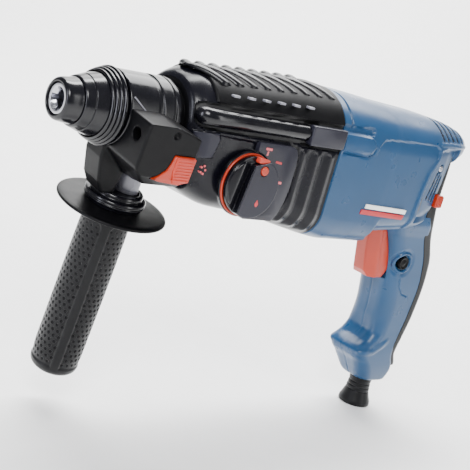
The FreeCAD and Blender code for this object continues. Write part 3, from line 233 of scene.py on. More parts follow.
def eased(table, places):
    """Monotone cubic curve through rows of (place, value, ...), read at many places."""
    table = np.array(table, float)
    x, rows = table[:, 0], table[:, 1:].T
    span = np.diff(x)
    out = []
    for y in rows:
        slope = np.diff(y) / span
        tangent = np.zeros_like(y)
        tangent[0], tangent[-1] = slope[0], slope[-1]
        same = slope[:-1] * slope[1:] > 0
        both = np.where(same, slope[:-1] + slope[1:], 1.0)
        tangent[1:-1] = np.where(same, 2 * slope[:-1] * slope[1:] / both, 0.0)
        index = np.clip(np.searchsorted(x, places) - 1, 0, len(span) - 1)
        h = span[index]
        t = np.clip((places - x[index]) / h, 0, 1)
        out.append((2 * t**3 - 3 * t**2 + 1) * y[index] + (t**3 - 2 * t**2 + t) * h * tangent[index]
                + (-2 * t**3 + 3 * t**2) * y[index + 1] + (t**3 - t**2) * h * tangent[index + 1])
    return out


def smooth(value, low, high):
    """0 below low, 1 above high, smooth between; low may be above high."""
    t = np.clip((value - low) / (high - low), 0, 1)
    return t * t * (3 - 2 * t)


def line_distance(u, v, points):
    """Distance from every (u, v) to an open line through points."""
    best = np.full(np.shape(u), 1e9)
    for (a, b), (c, e) in zip(points, points[1:]):
        du, dv = c - a, e - b
        t = np.clip(((u - a) * du + (v - b) * dv) / (du * du + dv * dv), 0, 1)
        best = np.minimum(best, np.hypot(u - a - t * du, v - b - t * dv))
    return best


def area_distance(u, v, points):
    """Signed distance to a closed outline, negative inside."""
    edge = line_distance(u, v, list(points) + [points[0]])
    inside = np.zeros(np.shape(u), bool)
    for (a, b), (c, e) in zip(points, list(points[1:]) + [points[0]]):
        crosses = (b > v) != (e > v)
        slope = (c - a) / (e - b) if e != b else 0.0
        inside ^= crosses & (u < slope * (v - b) + a)
    return np.where(inside, -edge, edge)


def channel(distance, width, depth):
    """A round-bottomed channel along a line."""
    return -depth * np.clip(1 - (2 * distance / width) ** 2, 0, 1)


# ---- meshes

def placed(name, data):
    """Puts new data in the scene as an object."""
    made = bpy.data.objects.new(name, data)
    bpy.context.scene.collection.objects.link(made)
    return made


def smoothed(mesh, angle=40.0):
    """Smooth shading, apart from edges sharper than angle."""
    mesh.polygons.foreach_set("use_smooth", [True] * len(mesh.polygons))
    mesh.set_sharp_from_angle(angle=math.radians(angle))


def mesh_object(name, points, faces, angle):
    """A mesh object from points in millimetres, smooth apart from edges sharper than angle."""
    mesh = bpy.data.meshes.new(name)
    mesh.from_pydata((np.array(points, float) * MM).tolist(), [], faces)
    made = placed(name, mesh)
    tidy_mesh(made, angle)
    return made


def tidy_mesh(made, angle):
    """Welds doubles, turns faces outward and sets the sharp edges."""
    work = bmesh.new()
    work.from_mesh(made.data)
    bmesh.ops.remove_doubles(work, verts=work.verts, dist=1e-6)
    bmesh.ops.dissolve_degenerate(work, edges=work.edges, dist=1e-7)
    bmesh.ops.recalc_face_normals(work, faces=work.faces)
    work.to_mesh(made.data)
    work.free()
    smoothed(made.data, angle)
    made.data.update()


def net_faces(rows, columns, around):
    """Quads of a grid of points, joined round its columns if asked."""
    r = np.arange(rows - 1)[:, None]
    c = np.arange(columns if around else columns - 1)[None, :]
    nxt = (c + 1) % columns
    quads = np.stack([r * columns + c, r * columns + nxt, (r + 1) * columns + nxt, (r + 1) * columns + c], -1)
    return quads.reshape(-1, 4)


def skin(name, grid, caps=(True, True), around=True, angle=40.0):
    """A surface over rows of points; caps close the first and last row."""
    rows, columns = grid.shape[:2]
    points = grid.reshape(-1, 3)
    faces = net_faces(rows, columns, around).tolist()
    if caps[0]:
        faces.append(list(range(columns))[::-1])
    if caps[1]:
        faces.append(list(range((rows - 1) * columns, rows * columns)))
    return mesh_object(name, points, faces, angle)


def lathe(name, outline, axis="x", centre=(0.0, 0.0), segments=128, longest=1.6):
    """Turns an outline of (along, radius) about an axis through centre."""
    outline = dense(outline, longest)
    along = np.array([p[0] for p in outline])[:, None]
    radius = np.array([max(p[1], 0.0) for p in outline])[:, None]
    turn = np.linspace(0, 2 * math.pi, segments, endpoint=False)[None, :]
    a, b = radius * np.cos(turn) + centre[0], radius * np.sin(turn) + centre[1]
    flat = along + 0 * turn
    order = {"x": (flat, a, b), "y": (a, flat, b), "z": (a, b, flat)}[axis]
    grid = np.stack(order, -1)
    return skin(name, np.concatenate([grid, grid[:1]]), (False, False), True, CREASE)


def prism(name, outline, low, high, plane="xz", edge=0.5):
    """A flat-faced block from an outline, with rounded rims. plane names the outline's two axes."""
    base = np.array(outline, float)
    rings = []
    for level, inset in ((low, edge), (low + edge * 0.3, edge * 0.3), (low + edge, 0.0), (high - edge, 0.0),
            (high - edge * 0.3, edge * 0.3), (high, edge)):
        to_next = np.roll(base, -1, 0) - np.roll(base, 1, 0)
        normal = np.stack([to_next[:, 1], -to_next[:, 0]], -1)
        normal /= np.maximum(np.linalg.norm(normal, axis=1, keepdims=True), 1e-9)
        if area_distance(*(base[0] + normal[0] * 0.05), base.tolist()) < 0:
            normal = -normal
        ring = base - normal * inset
        level = np.full(len(base), float(level))
        order = {"xz": (ring[:, 0], level, ring[:, 1]), "yz": (level, ring[:, 0], ring[:, 1]),
                "xy": (ring[:, 0], ring[:, 1], level)}[plane]
        rings.append(np.stack(order, -1))
    return skin(name, np.array(rings), (True, True), True, CREASE)


def block(name, low, high, edge=0.8, corner=1.2, plane="xz"):
    """A rounded rectangular block between two opposite corners."""
    low, high = np.minimum(low, high), np.maximum(low, high)
    a, b, c = {"xz": (0, 2, 1), "yz": (1, 2, 0), "xy": (0, 1, 2)}[plane]
    outline = softened([(low[a], low[b]), (high[a], low[b]), (high[a], high[b]), (low[a], high[b])], corner)
    return prism(name, outline, low[c], high[c], plane, edge)


# ---- distance fields

def union(a, b, k=0.6):
    """Two fields joined with a fillet of about k."""
    h = np.clip(0.5 + 0.5 * (b - a) / k, 0, 1)
    return b * (1 - h) + a * h - k * h * (1 - h)


def minus(a, b, k=0.6):
    """The first field less the second, its rim eased by about k."""
    return -union(-a, b, k)


def both(a, b, k=0.6):
    """What two fields share, its rim eased by about k."""
    return -union(-a, -b, k)


def wedge(flat, level, low, high, rounding=0.6):
    """An outline's field carried from low to high."""
    side = flat + rounding
    end = np.abs(level - (low + high) / 2) - (high - low) / 2 + rounding
    return np.hypot(np.maximum(side, 0), np.maximum(end, 0)) + np.minimum(np.maximum(side, end), 0) - rounding


def bar(a, b, along, radius, low, high, rounding=0.6):
    """A round bar: a and b are measured from its axis."""
    return wedge(np.hypot(a, b) - radius, along, low, high, rounding)


def meshed(name, field, low, high, step):
    """Meshes the zero surface of a field, then draws its points onto the field."""
    axes = [np.arange(a, b + step, step) for a, b in zip(low, high)]
    values = field(*np.meshgrid(*axes, indexing="ij"))
    cells = tuple(n - 1 for n in values.shape)
    total, hits = np.zeros(cells + (3,)), np.zeros(cells)
    for axis in range(3):
        others = [k for k in range(3) if k != axis]
        for i in (0, 1):
            for j in (0, 1):
                start = [slice(0, n) for n in cells]
                for k, shift in zip(others, (i, j)):
                    start[k] = slice(shift, cells[k] + shift)
                end = list(start)
                end[axis] = slice(1, cells[axis] + 1)
                a, b = values[tuple(start)], values[tuple(end)]
                crossed = (a < 0) != (b < 0)
                spot = np.zeros(cells + (3,))
                spot[..., axis] = a / np.where(crossed, a - b, 1.0)
                spot[..., others[0]], spot[..., others[1]] = i, j
                total += spot * crossed[..., None]
                hits += crossed
    active = hits > 0
    number = np.full(cells, -1)
    number[active] = np.arange(active.sum())
    where = np.argwhere(active)
    points = (where + total[active] / hits[active][:, None]) * step + np.array(low)
    faces = []
    for axis in range(3):
        others = [k for k in range(3) if k != axis]
        start = [slice(1, n) for n in cells]
        start[axis] = slice(0, cells[axis])
        end = list(start)
        end[axis] = slice(1, cells[axis] + 1)
        crossed = (values[tuple(start)] < 0) != (values[tuple(end)] < 0)
        spots = np.argwhere(crossed)
        spots[:, others] += 1
        corners = []
        for i, j in ((1, 1), (0, 1), (0, 0), (1, 0)):
            cell = spots.copy()
            cell[:, others[0]] -= i
            cell[:, others[1]] -= j
            corners.append(number[tuple(cell.T)])
        faces.append(np.stack(corners, -1))
    reach = 0.05
    for _ in range(5):
        value = field(*points.T)
        slope = np.stack([(field(*(points + e).T) - field(*(points - e).T)) / (2 * reach) for e in np.eye(3)
                * reach], -1)
        move = slope * (value / np.maximum((slope**2).sum(1), 0.2))[:, None]
        points = points - np.clip(move, -step * 0.5, step * 0.5)
    return mesh_object(name, points, np.concatenate(faces).tolist(), 50.0)


# ---- geometry-node trees

def node_tree(name, sockets):
    """An empty geometry tree with a geometry input and output and the given inputs."""
    tree = bpy.data.node_groups.new(name, "GeometryNodeTree")
    tree.interface.new_socket("Geometry", in_out="INPUT", socket_type="NodeSocketGeometry")
    tree.interface.new_socket("Geometry", in_out="OUTPUT", socket_type="NodeSocketGeometry")
    for label, kind, value in sockets:
        made = tree.interface.new_socket(label, in_out="INPUT", socket_type="NodeSocket" + kind)
        if value is not None:
            made.default_value = value
    return tree, add(tree, "NodeGroupInput").outputs


def close_tree(tree, geometry, material):
    """Ends a tree with real geometry in one material."""
    real = add(tree, "GeometryNodeRealizeInstances", {"Geometry": geometry})
    dressed = add(tree, "GeometryNodeSetMaterial", {"Geometry": real.outputs[0], "Material": material})
    out = add(tree, "NodeGroupOutput")
    tree.links.new(dressed.outputs[0], out.inputs[0])
    return tree


def row_tree():
    """Copies of the piece in a straight row, each a little larger across than the one before."""
    tree, given = node_tree("Row of copies", [
        ("Count", "Int", 6), ("Start", "Vector", None), ("Step", "Vector", None), ("Growth", "Float", 0.0),
        ("Material", "Material", None)])
    line = add(tree, "GeometryNodeMeshLine", {"Count": given["Count"], "Start Location": given["Start"],
            "Offset": given["Step"]})
    index = add(tree, "GeometryNodeInputIndex").outputs[0]
    grown = add(tree, "ShaderNodeMath", {0: index, 1: given["Growth"], 2: 1.0},
            operation="MULTIPLY_ADD").outputs[0]
    scale = add(tree, "ShaderNodeCombineXYZ", {"X": 1.0, "Y": grown, "Z": grown}).outputs[0]
    copies = add(tree, "GeometryNodeInstanceOnPoints", {"Points": line.outputs[0],
            "Instance": given["Geometry"], "Scale": scale})
    return close_tree(tree, copies.outputs[0], given["Material"])


def pit_tree():
    """Small round pits in staggered rings, cut into a grip that stands on its Z axis."""
    tree, given = node_tree("Staggered pits", [
        ("Rings", "Int", 24), ("Pits per ring", "Int", 12), ("Pitch", "Float", 0.004), ("Top", "Float", 0.0),
        ("Radius", "Float", 0.017), ("Pit radius", "Float", 0.001), ("From angle", "Float", 0.0),
        ("Angle step", "Float", 0.3), ("Material", "Material", None)])
    total = add(tree, "FunctionNodeIntegerMath", {0: given["Rings"], 1: given["Pits per ring"]},
            operation="MULTIPLY").outputs[0]
    points = add(tree, "GeometryNodePoints", {"Count": total, "Radius": 0.001}).outputs[0]
    index = add(tree, "GeometryNodeInputIndex").outputs[0]
    ring = add(tree, "FunctionNodeIntegerMath", {0: index, 1: given["Pits per ring"]},
            operation="DIVIDE_FLOOR").outputs[0]
    seat = add(tree, "FunctionNodeIntegerMath", {0: index, 1: given["Pits per ring"]},
            operation="MODULO").outputs[0]
    odd = add(tree, "FunctionNodeIntegerMath", {0: ring, 1: 2}, operation="MODULO").outputs[0]
    half = add(tree, "ShaderNodeMath", {0: odd, 1: 0.5, 2: seat}, operation="MULTIPLY_ADD").outputs[0]
    angle = add(tree, "ShaderNodeMath", {0: half, 1: given["Angle step"], 2: given["From angle"]},
            operation="MULTIPLY_ADD").outputs[0]
    cosine = add(tree, "ShaderNodeMath", {0: angle}, operation="COSINE").outputs[0]
    sine = add(tree, "ShaderNodeMath", {0: angle}, operation="SINE").outputs[0]
    x = add(tree, "ShaderNodeMath", {0: cosine, 1: given["Radius"]}, operation="MULTIPLY").outputs[0]
    y = add(tree, "ShaderNodeMath", {0: sine, 1: given["Radius"]}, operation="MULTIPLY").outputs[0]
    down = add(tree, "ShaderNodeMath", {0: ring, 1: given["Pitch"]}, operation="MULTIPLY").outputs[0]
    z = add(tree, "ShaderNodeMath", {0: given["Top"], 1: down}, operation="SUBTRACT").outputs[0]
    spot = add(tree, "ShaderNodeCombineXYZ", {"X": x, "Y": y, "Z": z}).outputs[0]
    placed = add(tree, "GeometryNodeSetPosition", {"Geometry": points, "Position": spot}).outputs[0]
    pit = add(tree, "GeometryNodeMeshUVSphere", {"Segments": 10, "Rings": 6, "Radius": given["Pit radius"]})
    copies = add(tree, "GeometryNodeInstanceOnPoints", {"Points": placed,
            "Instance": pit.outputs[0]}).outputs[0]
    real = add(tree, "GeometryNodeRealizeInstances", {"Geometry": copies}).outputs[0]
    carved = add(tree, "GeometryNodeMeshBoolean", {"Mesh 1": given["Geometry"], "Mesh 2": real},
            operation="DIFFERENCE", solver="EXACT")
    return close_tree(tree, carved.outputs[0], given["Material"])


def applied(piece, modifier):
    """Swaps the piece's mesh for what the modifier makes of it."""
    bpy.context.view_layer.update()
    graph = bpy.context.evaluated_depsgraph_get()
    made = bpy.data.meshes.new_from_object(piece.evaluated_get(graph))
    piece.modifiers.remove(modifier)
    old, piece.data = piece.data, made
    name = old.name
    bpy.data.meshes.remove(old)
    made.name = name


def run_tree(piece, tree, values):
    """Runs a tree on a piece and keeps the plain mesh that it makes."""
    modifier = piece.modifiers.new(tree.name, "NODES")
    modifier.node_group = tree
    ids = {item.name: item.identifier for item in tree.interface.items_tree if item.in_out == "INPUT"}
    for label, value in values.items():
        modifier[ids[label]] = value
    piece.update_tag()
    applied(piece, modifier)


# ---- shared by the operators

def settings():
    """The sizes, counts and colours that the panel shows."""
    return bpy.context.scene.hammer


def finish_of(name):
    """A material by its name."""
    return bpy.data.materials[name]


def dress(piece, body, material, *nodes, shade_faces=None):
    """Gives a piece its material, body and record slot, and hides the nodes that it stands for.

    deep marks the faces that are shown as dark recesses.
    """
    piece.data.materials.clear()
    piece.data.materials.append(finish_of(material))
    if shade_faces is not None:
        piece.data.materials.append(finish_of("painted_shade_black"))
        piece.data.polygons.foreach_set("material_index", np.asarray(shade_faces, np.int32))
    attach(piece, body)
    if nodes:
        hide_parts(*nodes)
    return piece


def leaned(piece):
    """Turns a piece made in the side handle's own frame to where the handle stands."""
    piece.data.transform(Matrix.Rotation(SWIVEL, 4, "X"))
    piece.data.update()
    return piece


def joined(name, pieces):
    """Joins pieces of one material into one mesh."""
    work = bmesh.new()
    for piece in pieces:
        work.from_mesh(piece.data)
    mesh = bpy.data.meshes.new(name)
    work.to_mesh(mesh)
    work.free()
    for piece in pieces:
        bpy.data.objects.remove(piece)
    smoothed(mesh)
    return placed(name, mesh)


def carve(piece, *tools):
    """Cuts tools out of a piece and drops them."""
    for tool in tools:
        cut = piece.modifiers.new("cut", "BOOLEAN")
        cut.operation, cut.solver, cut.object = "DIFFERENCE", "EXACT", tool
        applied(piece, cut)
        bpy.data.objects.remove(tool)
    smoothed(piece.data)
    return piece


def face_middles(piece):
    """The middle of every face, in millimetres."""
    out = np.zeros(len(piece.data.polygons) * 3)
    piece.data.polygons.foreach_get("center", out)
    return out.reshape(-1, 3).T / MM


# ---- sections of the housings

FRONT = [  # x, half width, bottom, top, lower and upper corner radius
    (RIM_X, 25.6, -25.6, 25.6, 25.2, 25.2), (81.2, 28.2, -28.6, 28.0, 26.0, 27.4),
    (85.0, 31.0, -33.5, 30.2, 24.0, 29.6), (92.0, 33.7, -42.5, 32.4, 22.0, 31.0),
    (115.0, 36.8, -51.0, 33.2, 21.0, 31.0), (150.0, 38.0, -53.5, 34.6, 20.0, 31.0),
    (175.0, 38.5, -58.5, 35.8, 20.0, 31.0), (SEAM_X, 39.0, -64.0, 36.4, 20.0, 31.0)]
BACK = [
    (SEAM_X, 39.0, -64.0, 36.6, 20.0, 31.0), (224.0, 39.0, -66.3, 36.2, 20.0, 31.0),
    (261.0, 38.6, -65.6, 34.2, 17.0, 30.0), (263.5, 38.5, -64.4, 34.0, 15.0, 30.0),
    (268.5, 38.2, -57.6, 33.6, 14.0, 30.0), (271.0, 38.1, -56.8, 33.5, 14.0, 30.0),
    (312.0, 35.2, -54.0, 31.8, 15.0, 28.0), (336.0, 29.8, -49.5, 29.6, 17.0, 24.0),
    (341.5, 27.9, -30.0, 28.7, 13.0, 21.0), (347.0, 26.2, -6.0, 27.6, 13.0, 19.0),
    (356.0, 22.2, 1.5, 25.2, 10.0, 14.0), (365.0, 17.6, 4.5, 21.2, 7.0, 9.0),
    (STERN_X, 14.6, 6.2, 18.8, 5.0, 6.4)]


def ring_of(half, low, top, keel, crown, steps=(8, 34, 46, 46, 7)):
    """Rows of points round rounded rectangles, from bottom centre over the -Y side; with outward normals."""
    half, low, top, keel, crown = (np.asarray(v, float)[:, None] for v in (half, low, top, keel, crown))
    keel = np.minimum(keel, half - 0.05)
    crown = np.minimum(crown, half - 0.05)
    shorten = np.minimum(1.0, (top - low) / (keel + crown) * 0.98)
    keel, crown = keel * shorten, crown * shorten
    flat0, flat1, flat2 = (np.linspace(0, 1, steps[k], endpoint=False)[None, :] for k in (0, 2, 4))
    turn0, turn1 = (np.linspace(0, math.pi / 2, steps[k], endpoint=False)[None, :] for k in (1, 3))
    zero = 0 * half
    parts = [
        (-(half - keel) * flat0, low + zero * flat0, zero * flat0, zero * flat0 - 1),
        (-(half - keel) - keel * np.sin(turn0), low + keel - keel * np.cos(turn0), zero - np.sin(turn0),
         zero - np.cos(turn0)),
        (-half + zero * flat1, low + keel + (top - crown - low - keel) * flat1, zero * flat1 - 1,
         zero * flat1),
        (-(half - crown) - crown * np.cos(turn1), top - crown + crown * np.sin(turn1), zero - np.cos(turn1),
         zero + np.sin(turn1)),
        (-(half - crown) * (1 - flat2), top + zero * flat2, zero * flat2, zero * flat2 + 1),
    ]
    y, z, ny, nz = (np.concatenate([p[k] for p in parts], 1) for k in range(4))
    last = (zero, top, zero, zero + 1)
    y, z, ny, nz = (np.concatenate([v, end], 1) for v, end in zip((y, z, ny, nz), last))
    back = slice(-2, 0, -1)
    return (np.concatenate([y, -y[:, back]], 1), np.concatenate([z, z[:, back]], 1),
            np.concatenate([ny, -ny[:, back]], 1), np.concatenate([nz, nz[:, back]], 1))


def long_shell(name, places, inset, table, relief, caps):
    """A housing lofted along X: inset draws rows in, relief gives the raised and sunk detail."""
    half, low, top, keel, crown = eased(table, places)
    y, z, ny, nz = ring_of(half - inset, low + inset, top - inset, np.maximum(keel - inset, 1.0),
            np.maximum(crown - inset, 1.0))
    x = places[:, None] + 0 * y
    lift = relief(x, y, z, ny, nz)
    grid = np.stack([x, y + ny * lift, z + nz * lift], -1)
    return skin(name, grid, caps)


# ---- chuck

def build_chuck():
    """Tool holder with its keyed mouth, dust cap, locking sleeve and the ridged backing ring."""
    outline = [(0.0, 7.3, 0.3), (0.0, 9.3, 0.5), (10.6, 9.3, 0.2), (10.6, 12.0, 0.3), (80.0, 12.0, 0.2),
            (80.0, 16.5, 0.5), (88.0, 16.5, 0.3), (88.0, 8.6, 0.3), (62.0, 8.6, 0.3), (62.0, 5.0, 0.2),
            (3.0, 5.0, 0.8)]
    holder = lathe("tool_holder_keyed", softened(outline, 0.2), segments=96, longest=4.0)
    keys = [block("key", (-1.0, 4.0 * s, -1.7), (13.0, 7.0 * s, 1.7), 0.2, 0.3) for s in SIDES]
    keys += [block("key", (-1.0, -1.4, 4.0 * s), (13.0, 1.4, 6.8 * s), 0.2, 0.3) for s in SIDES]
    dress(carve(holder, *keys), "spindle", "ground_steel", "tool_holder")
    cap = softened([(-1.0, 9.9, 0.5), (-1.0, 11.4, 0.9), (0.2, 12.7, 0.8), (2.5, 13.2, 1.0),
            (7.0, 13.7, 1.0), (9.7, 14.2, 0.5), (9.7, 9.4, 0.2), (3.0, 9.4, 0.2), (3.0, 9.9, 0.2)], 0.3)
    dress(lathe("dust_cap_moulded", cap), "spindle", "polished_black_abs", "dust_cap")
    sleeve = softened([(10.2, 12.5), (10.2, 14.6, 0.4), (10.9, 15.4, 0.5), (15.9, 17.0, 0.2),
            (16.1, 16.7, 0.1), (16.5, 16.7, 0.1), (16.7, 17.3, 0.2), (25.0, 19.6, 0.5), (25.0, 17.6),
            (17.0, 15.9), (17.0, 12.5)], 0.2)
    dress(lathe("locking_sleeve_moulded", sleeve), "sleeve", "polished_black_abs", "locking_sleeve")
    ridges = []
    for index, rise in enumerate((21.4, 22.5, 23.4, 24.3)):
        start = 24.2 + 2.4 * index
        ridges += [(start, rise - 1.0, 0.25), (start + 0.5, rise, 0.6), (start + 1.7, rise + 0.1, 0.6),
                (start + 2.1, rise - 0.7, 0.25)]
    ring = softened(ridges + [(34.0, 23.0, 0.4), (34.0, 12.1), (33.0, 12.1), (33.0, 19.95), (24.2, 19.95)],
            0.15)
    dress(lathe("backing_ring_ridged", ring, longest=1.0), "spindle", "polished_black_abs", "backing_ring")


# ---- gear housing

PLATE = [(128.0, -0.2), (156.5, -0.2), (161.0, -1.5), (163.6, -5.0), (164.8, -12.0), (164.6, -28.0),
        (163.0, -38.0), (160.0, -46.5), (155.5, -51.5)]
PLATE_GAP = [(a + 1.7, b) for a, b in PLATE[1:]]
RAIL_LINE = [(88.0, 9.2), (176.0, 9.2)]
CLIP_AREA = [(167.0, 0.0), (204.5, 0.0), (204.5, 17.6), (167.0, 17.6)]
PAD = [(81.5, -1.5), (96.5, 0.0), (99.0, -3.5), (96.5, -15.5), (84.0, -17.5)]


def front_relief(x, y, z, ny, nz):
    """How far each point of the gear housing stands out or lies in."""
    side = smooth(np.abs(ny), 0.45, 0.7)
    lift = 0 * x
    # round-ended recess for the rail, and the lip under it
    rail = line_distance(x, z, RAIL_LINE)
    lift -= 1.9 * side * smooth(rail, 8.4, 7.4) * smooth(x, 80.5, 82.5)
    lip = line_distance(x, z, [(88.0, 0.6), (150.0, -0.9), (168.0, -0.9)])
    lift += side * 1.2 * smooth(lip, 2.0, 0.5)
    # channel round the icon plate
    lift += side * channel(line_distance(x, z, PLATE_GAP), 3.6, 2.0)
    # upright facets between the plate and the seam
    facet = smooth(x, 166.5, 169.0) * smooth(x, 203.0, 200.0) * smooth(z, -1.0, -4.0) * side
    lift += facet * (np.abs((x - 170.5) % 13.0 - 6.5) * 0.32 - 0.9)
    # gap round the clip and the block behind the rail
    clip = area_distance(x, z, CLIP_AREA)
    lift -= side * 1.7 * smooth(clip, 0.4, -0.5)
    # flat pad behind the side-handle bracket
    lift += side * 1.2 * smooth(area_distance(x, z, PAD), 0.8, -0.4)
    # dark band at the seam
    lift -= 1.3 * smooth(x, 202.9, 203.4)
    return lift


def build_gear_housing():
    """The slate gear housing with the neck tube in front of it."""
    places = np.concatenate([np.linspace(RIM_X, 84.0, 14), np.arange(84.5, 203.0, 0.62),
            np.array([203.2, 203.6, 204.0])])
    inset = np.zeros(len(places))
    inset[0], inset[1], inset[2] = 0.9, 0.3, 0.05
    shell = long_shell("gear_housing_shell", places, inset, FRONT, front_relief, (False, False))
    x, y, z = face_middles(shell)
    rail = line_distance(x, z, RAIL_LINE)
    plate = line_distance(x, z, PLATE_GAP)
    clip = area_distance(x, z, CLIP_AREA)
    # Painted shade: faces in the rail recess, the plate channel, the clip gap, under the cover and at the
    # seam get the near-black shade finish.
    shade_faces = (np.abs(y) > 24) & (((rail < 7.9) & (x > 82)) | (plate < 1.5) | (clip < 0)) | (x > 203.3)
    shade_faces |= (z > 16.0) & (x > 96.0)
    dress(shell, "housing", "slate_nylon", "gear_housing", shade_faces=shade_faces)
    pad = (area_distance(x, z, PAD) < 0) & (np.abs(y) > 20)
    shell.data.materials.append(finish_of("slate_face_nylon"))
    shell.data.polygons.foreach_set("material_index", np.where(pad, 2, shade_faces).astype(np.int32))
    neck = softened([(35.6, 18.05), (35.6, 20.8, 0.4), (79.0, 20.8, 0.1), (79.6, 24.9, 0.5), (83.0, 24.9),
            (83.0, 18.05)])
    dress(lathe("housing_neck", neck), "housing", "black_glass_nylon")


def build_cover():
    """The saddle over the gear housing with its slanting ribs and small windows."""
    sizes = settings()
    places = np.concatenate([[93.4, 93.4, 93.7, 94.3, 95.0], np.arange(95.7, 202.0, 0.9),
            [202.4, 202.9, 203.1, 203.1]])
    half, _, top, _, crown = eased(FRONT, places)
    rise = np.full(len(places), 1.7)
    rise[:4], rise[-4:] = (-1.5, 0.4, 1.2, 1.6), (1.6, 1.2, 0.4, -1.5)
    start = np.arcsin(np.clip((18.2 - (top - crown)) / crown, 0.05, 0.95))[:, None]
    turn = start + (math.pi / 2 - start) * np.linspace(0, 1, 70)[None, :] ** 0.9
    near = np.stack([-(half - crown)[:, None] - (crown + rise)[:, None] * np.cos(turn),
            (top - crown)[:, None] + (crown + rise)[:, None] * np.sin(turn)], -1)
    down = near[:, :1] + np.array([1.6, -0.9])
    lip = near[:, :1] + np.array([0.15, -0.5])
    side = np.concatenate([down, lip, near], 1)
    far = side[:, ::-1] * np.array([-1.0, 1.0])
    across = np.concatenate([side, far[:, 1:]], 1)
    grid = np.concatenate([(places[:, None] + 0 * across[..., 0])[..., None], across], -1)
    cover = skin("ribbed_cover_saddle", grid, (False, False), False)
    dress(cover, "housing", "black_glass_nylon", "ribbed_cover")
    # one rib, laid over the saddle from the top middle down both sides, slanting back as it falls
    rib_places, x0, lean = np.linspace(0.0, 1.0, 40), 104.0, 15.0
    half0, _, top0, _, crown0 = (float(v[0]) for v in eased(FRONT, np.array([x0])))
    bars = []
    for sign in SIDES:
        rows = []
        for t in rib_places:
            a = math.pi / 2 - t * math.radians(36)
            x = x0 - lean + lean * t
            swell = 0.35 + 0.65 * min(1.0, min(t + 0.08, (1.0 - t) * 2.2) * 6.0)
            y, z = (half0 - crown0) + crown0 * math.cos(a), (top0 - crown0) + crown0 * math.sin(a)
            if t < 0.12:
                y *= t / 0.12 * 0.9 + 0.1
            normal = np.array([0.0, math.cos(a) * sign, math.sin(a)])
            forward = np.array([1.0, 0.0, 0.0]) * 4.2
            middle = np.array([x, y * sign, z])
            rows.append([middle + forward * math.cos(b) + normal * (1.0 + 2.4 * swell * max(math.sin(b),
                    -0.3)) for b in np.linspace(0, 2 * math.pi, 14, endpoint=False)])
        bars.append(skin("rib_half", np.array(rows)))
    rib = joined("cover_ribs", bars)
    run_tree(rib, row_tree(), {"Count": sizes.rib_count, "Start": (0.0, 0.0, 0.0),
            "Step": (sizes.rib_pitch, 0.0, 0.0), "Growth": 0.0125,
            "Material": finish_of("ribbed_grey_nylon")})
    dress(rib, "housing", "ribbed_grey_nylon")
    # painted highlights: a row of small light-grey dashes under the ribs, put where glints fall
    dash = block("cover_highlight_dashes", (-2.4, -34.6, 23.6), (2.4, -31.0, 24.9), 0.2, 0.4, "xy")
    dash.data.transform(Matrix.Translation((104.5 * MM, 0, 0)))
    run_tree(dash, row_tree(), {"Count": sizes.highlight_dash_count, "Start": (0.0, 0.0, 0.0),
            "Step": (0.0128, 0.0, 0.0), "Growth": 0.012, "Material": finish_of("grey_gloss_and_painted_highlight")})
    dress(dash, "housing", "grey_gloss_and_painted_highlight")


def build_trim():
    """Side rails, corner clips and the icon plate."""
    rails = []
    for sign in SIDES:
        rows = []
        for x in np.concatenate([79.7 + 5.6 * (1 - np.cos(np.linspace(0, math.pi / 2, 12))),
                np.arange(86.5, 170.0, 2.0), 169.5 + 5.0 * np.sin(np.linspace(0.1, math.pi / 2, 10))]):
            front = math.sqrt(max(0.0, 1 - max(0.0, (85.3 - x) / 5.6) ** 2)) * 0.94 + 0.06
            back = math.sqrt(max(0.0, 1 - max(0.0, (x - 169.5) / 5.1) ** 2))
            size = min(front, back)
            y = 33.6 + 1.2 * smooth(x, 80.0, 110.0)
            if x < 92.0:
                y -= 3.2 * smooth(x, 92.0, 78.0)
            turn = np.linspace(0, 2 * math.pi, 40, endpoint=False)
            rows.append(np.stack([np.full(40, x), sign * (y + 6.2 * size * np.cos(turn)),
                    9.3 + 5.6 * size * np.sin(turn)], -1))
        rails.append(skin("rail", np.array(rows)))
    dress(joined("side_rails_round", rails), "housing", "polished_black_abs", "side_rails")
    clips = [block("clip", (170.6, 36.0 * s, 2.2), (203.2, 42.2 * s, 15.6), 1.0, 1.8) for s in SIDES]
    dress(joined("corner_clips_rounded", clips), "housing", "slate_face_nylon", "corner_clips")
    cx, cz = DIAL
    well = [(cx + 22.1 * math.cos(a), cz + 22.1 * math.sin(a)) for a in np.linspace(math.radians(81),
            math.radians(-80), 40)]
    outline = softened(PLATE, 1.5, closed=False)
    plate = prism("icon_plate", outline + [(131.0, -51.5)] + well[::-1], PLATE_Y, PLATE_Y + 6.0, "xz", 0.5)
    dress(plate, "housing", "slate_face_nylon", "mode_plate")


# ---- motor housing and grip

PANEL = [(241.8, -62.0), (241.8, 1.0), (243.4, 8.8), (247.6, 13.2), (256.0, 14.4), (300.0, 15.2),
        (312.0, 15.0), (317.0, 12.0), (316.5, 5.0), (309.5, -6.0), (306.8, -20.0), (305.4, -34.0),
        (305.0, -62.0)]
SCOOP = [(319.5, 11.0), (330.0, 13.2), (352.0, 13.0), (352.0, -46.0), (309.5, -46.0), (309.0, -34.0),
        (310.5, -20.0), (313.0, -7.0), (319.5, 4.0)]
SLITS = [[(322.5, -27.0), (325.5, -17.0), (328.5, -8.0)], [(327.5, -28.0), (330.0, -18.0), (332.5, -9.0)],
        [(332.5, -29.0), (334.5, -19.0), (336.5, -10.0)]]


SCREW_WELLS = [(322.0, 5.5), (332.0, -3.5)]


def vent_gaps(x, z):
    """Distance from every point to each vent slit, which bends back as it falls."""
    sizes = settings()
    for index in range(sizes.vent_count):
        yield np.abs(x - (319.0 + sizes.vent_pitch / MM * index + 0.34 * np.maximum(0, 30.5 - z)))


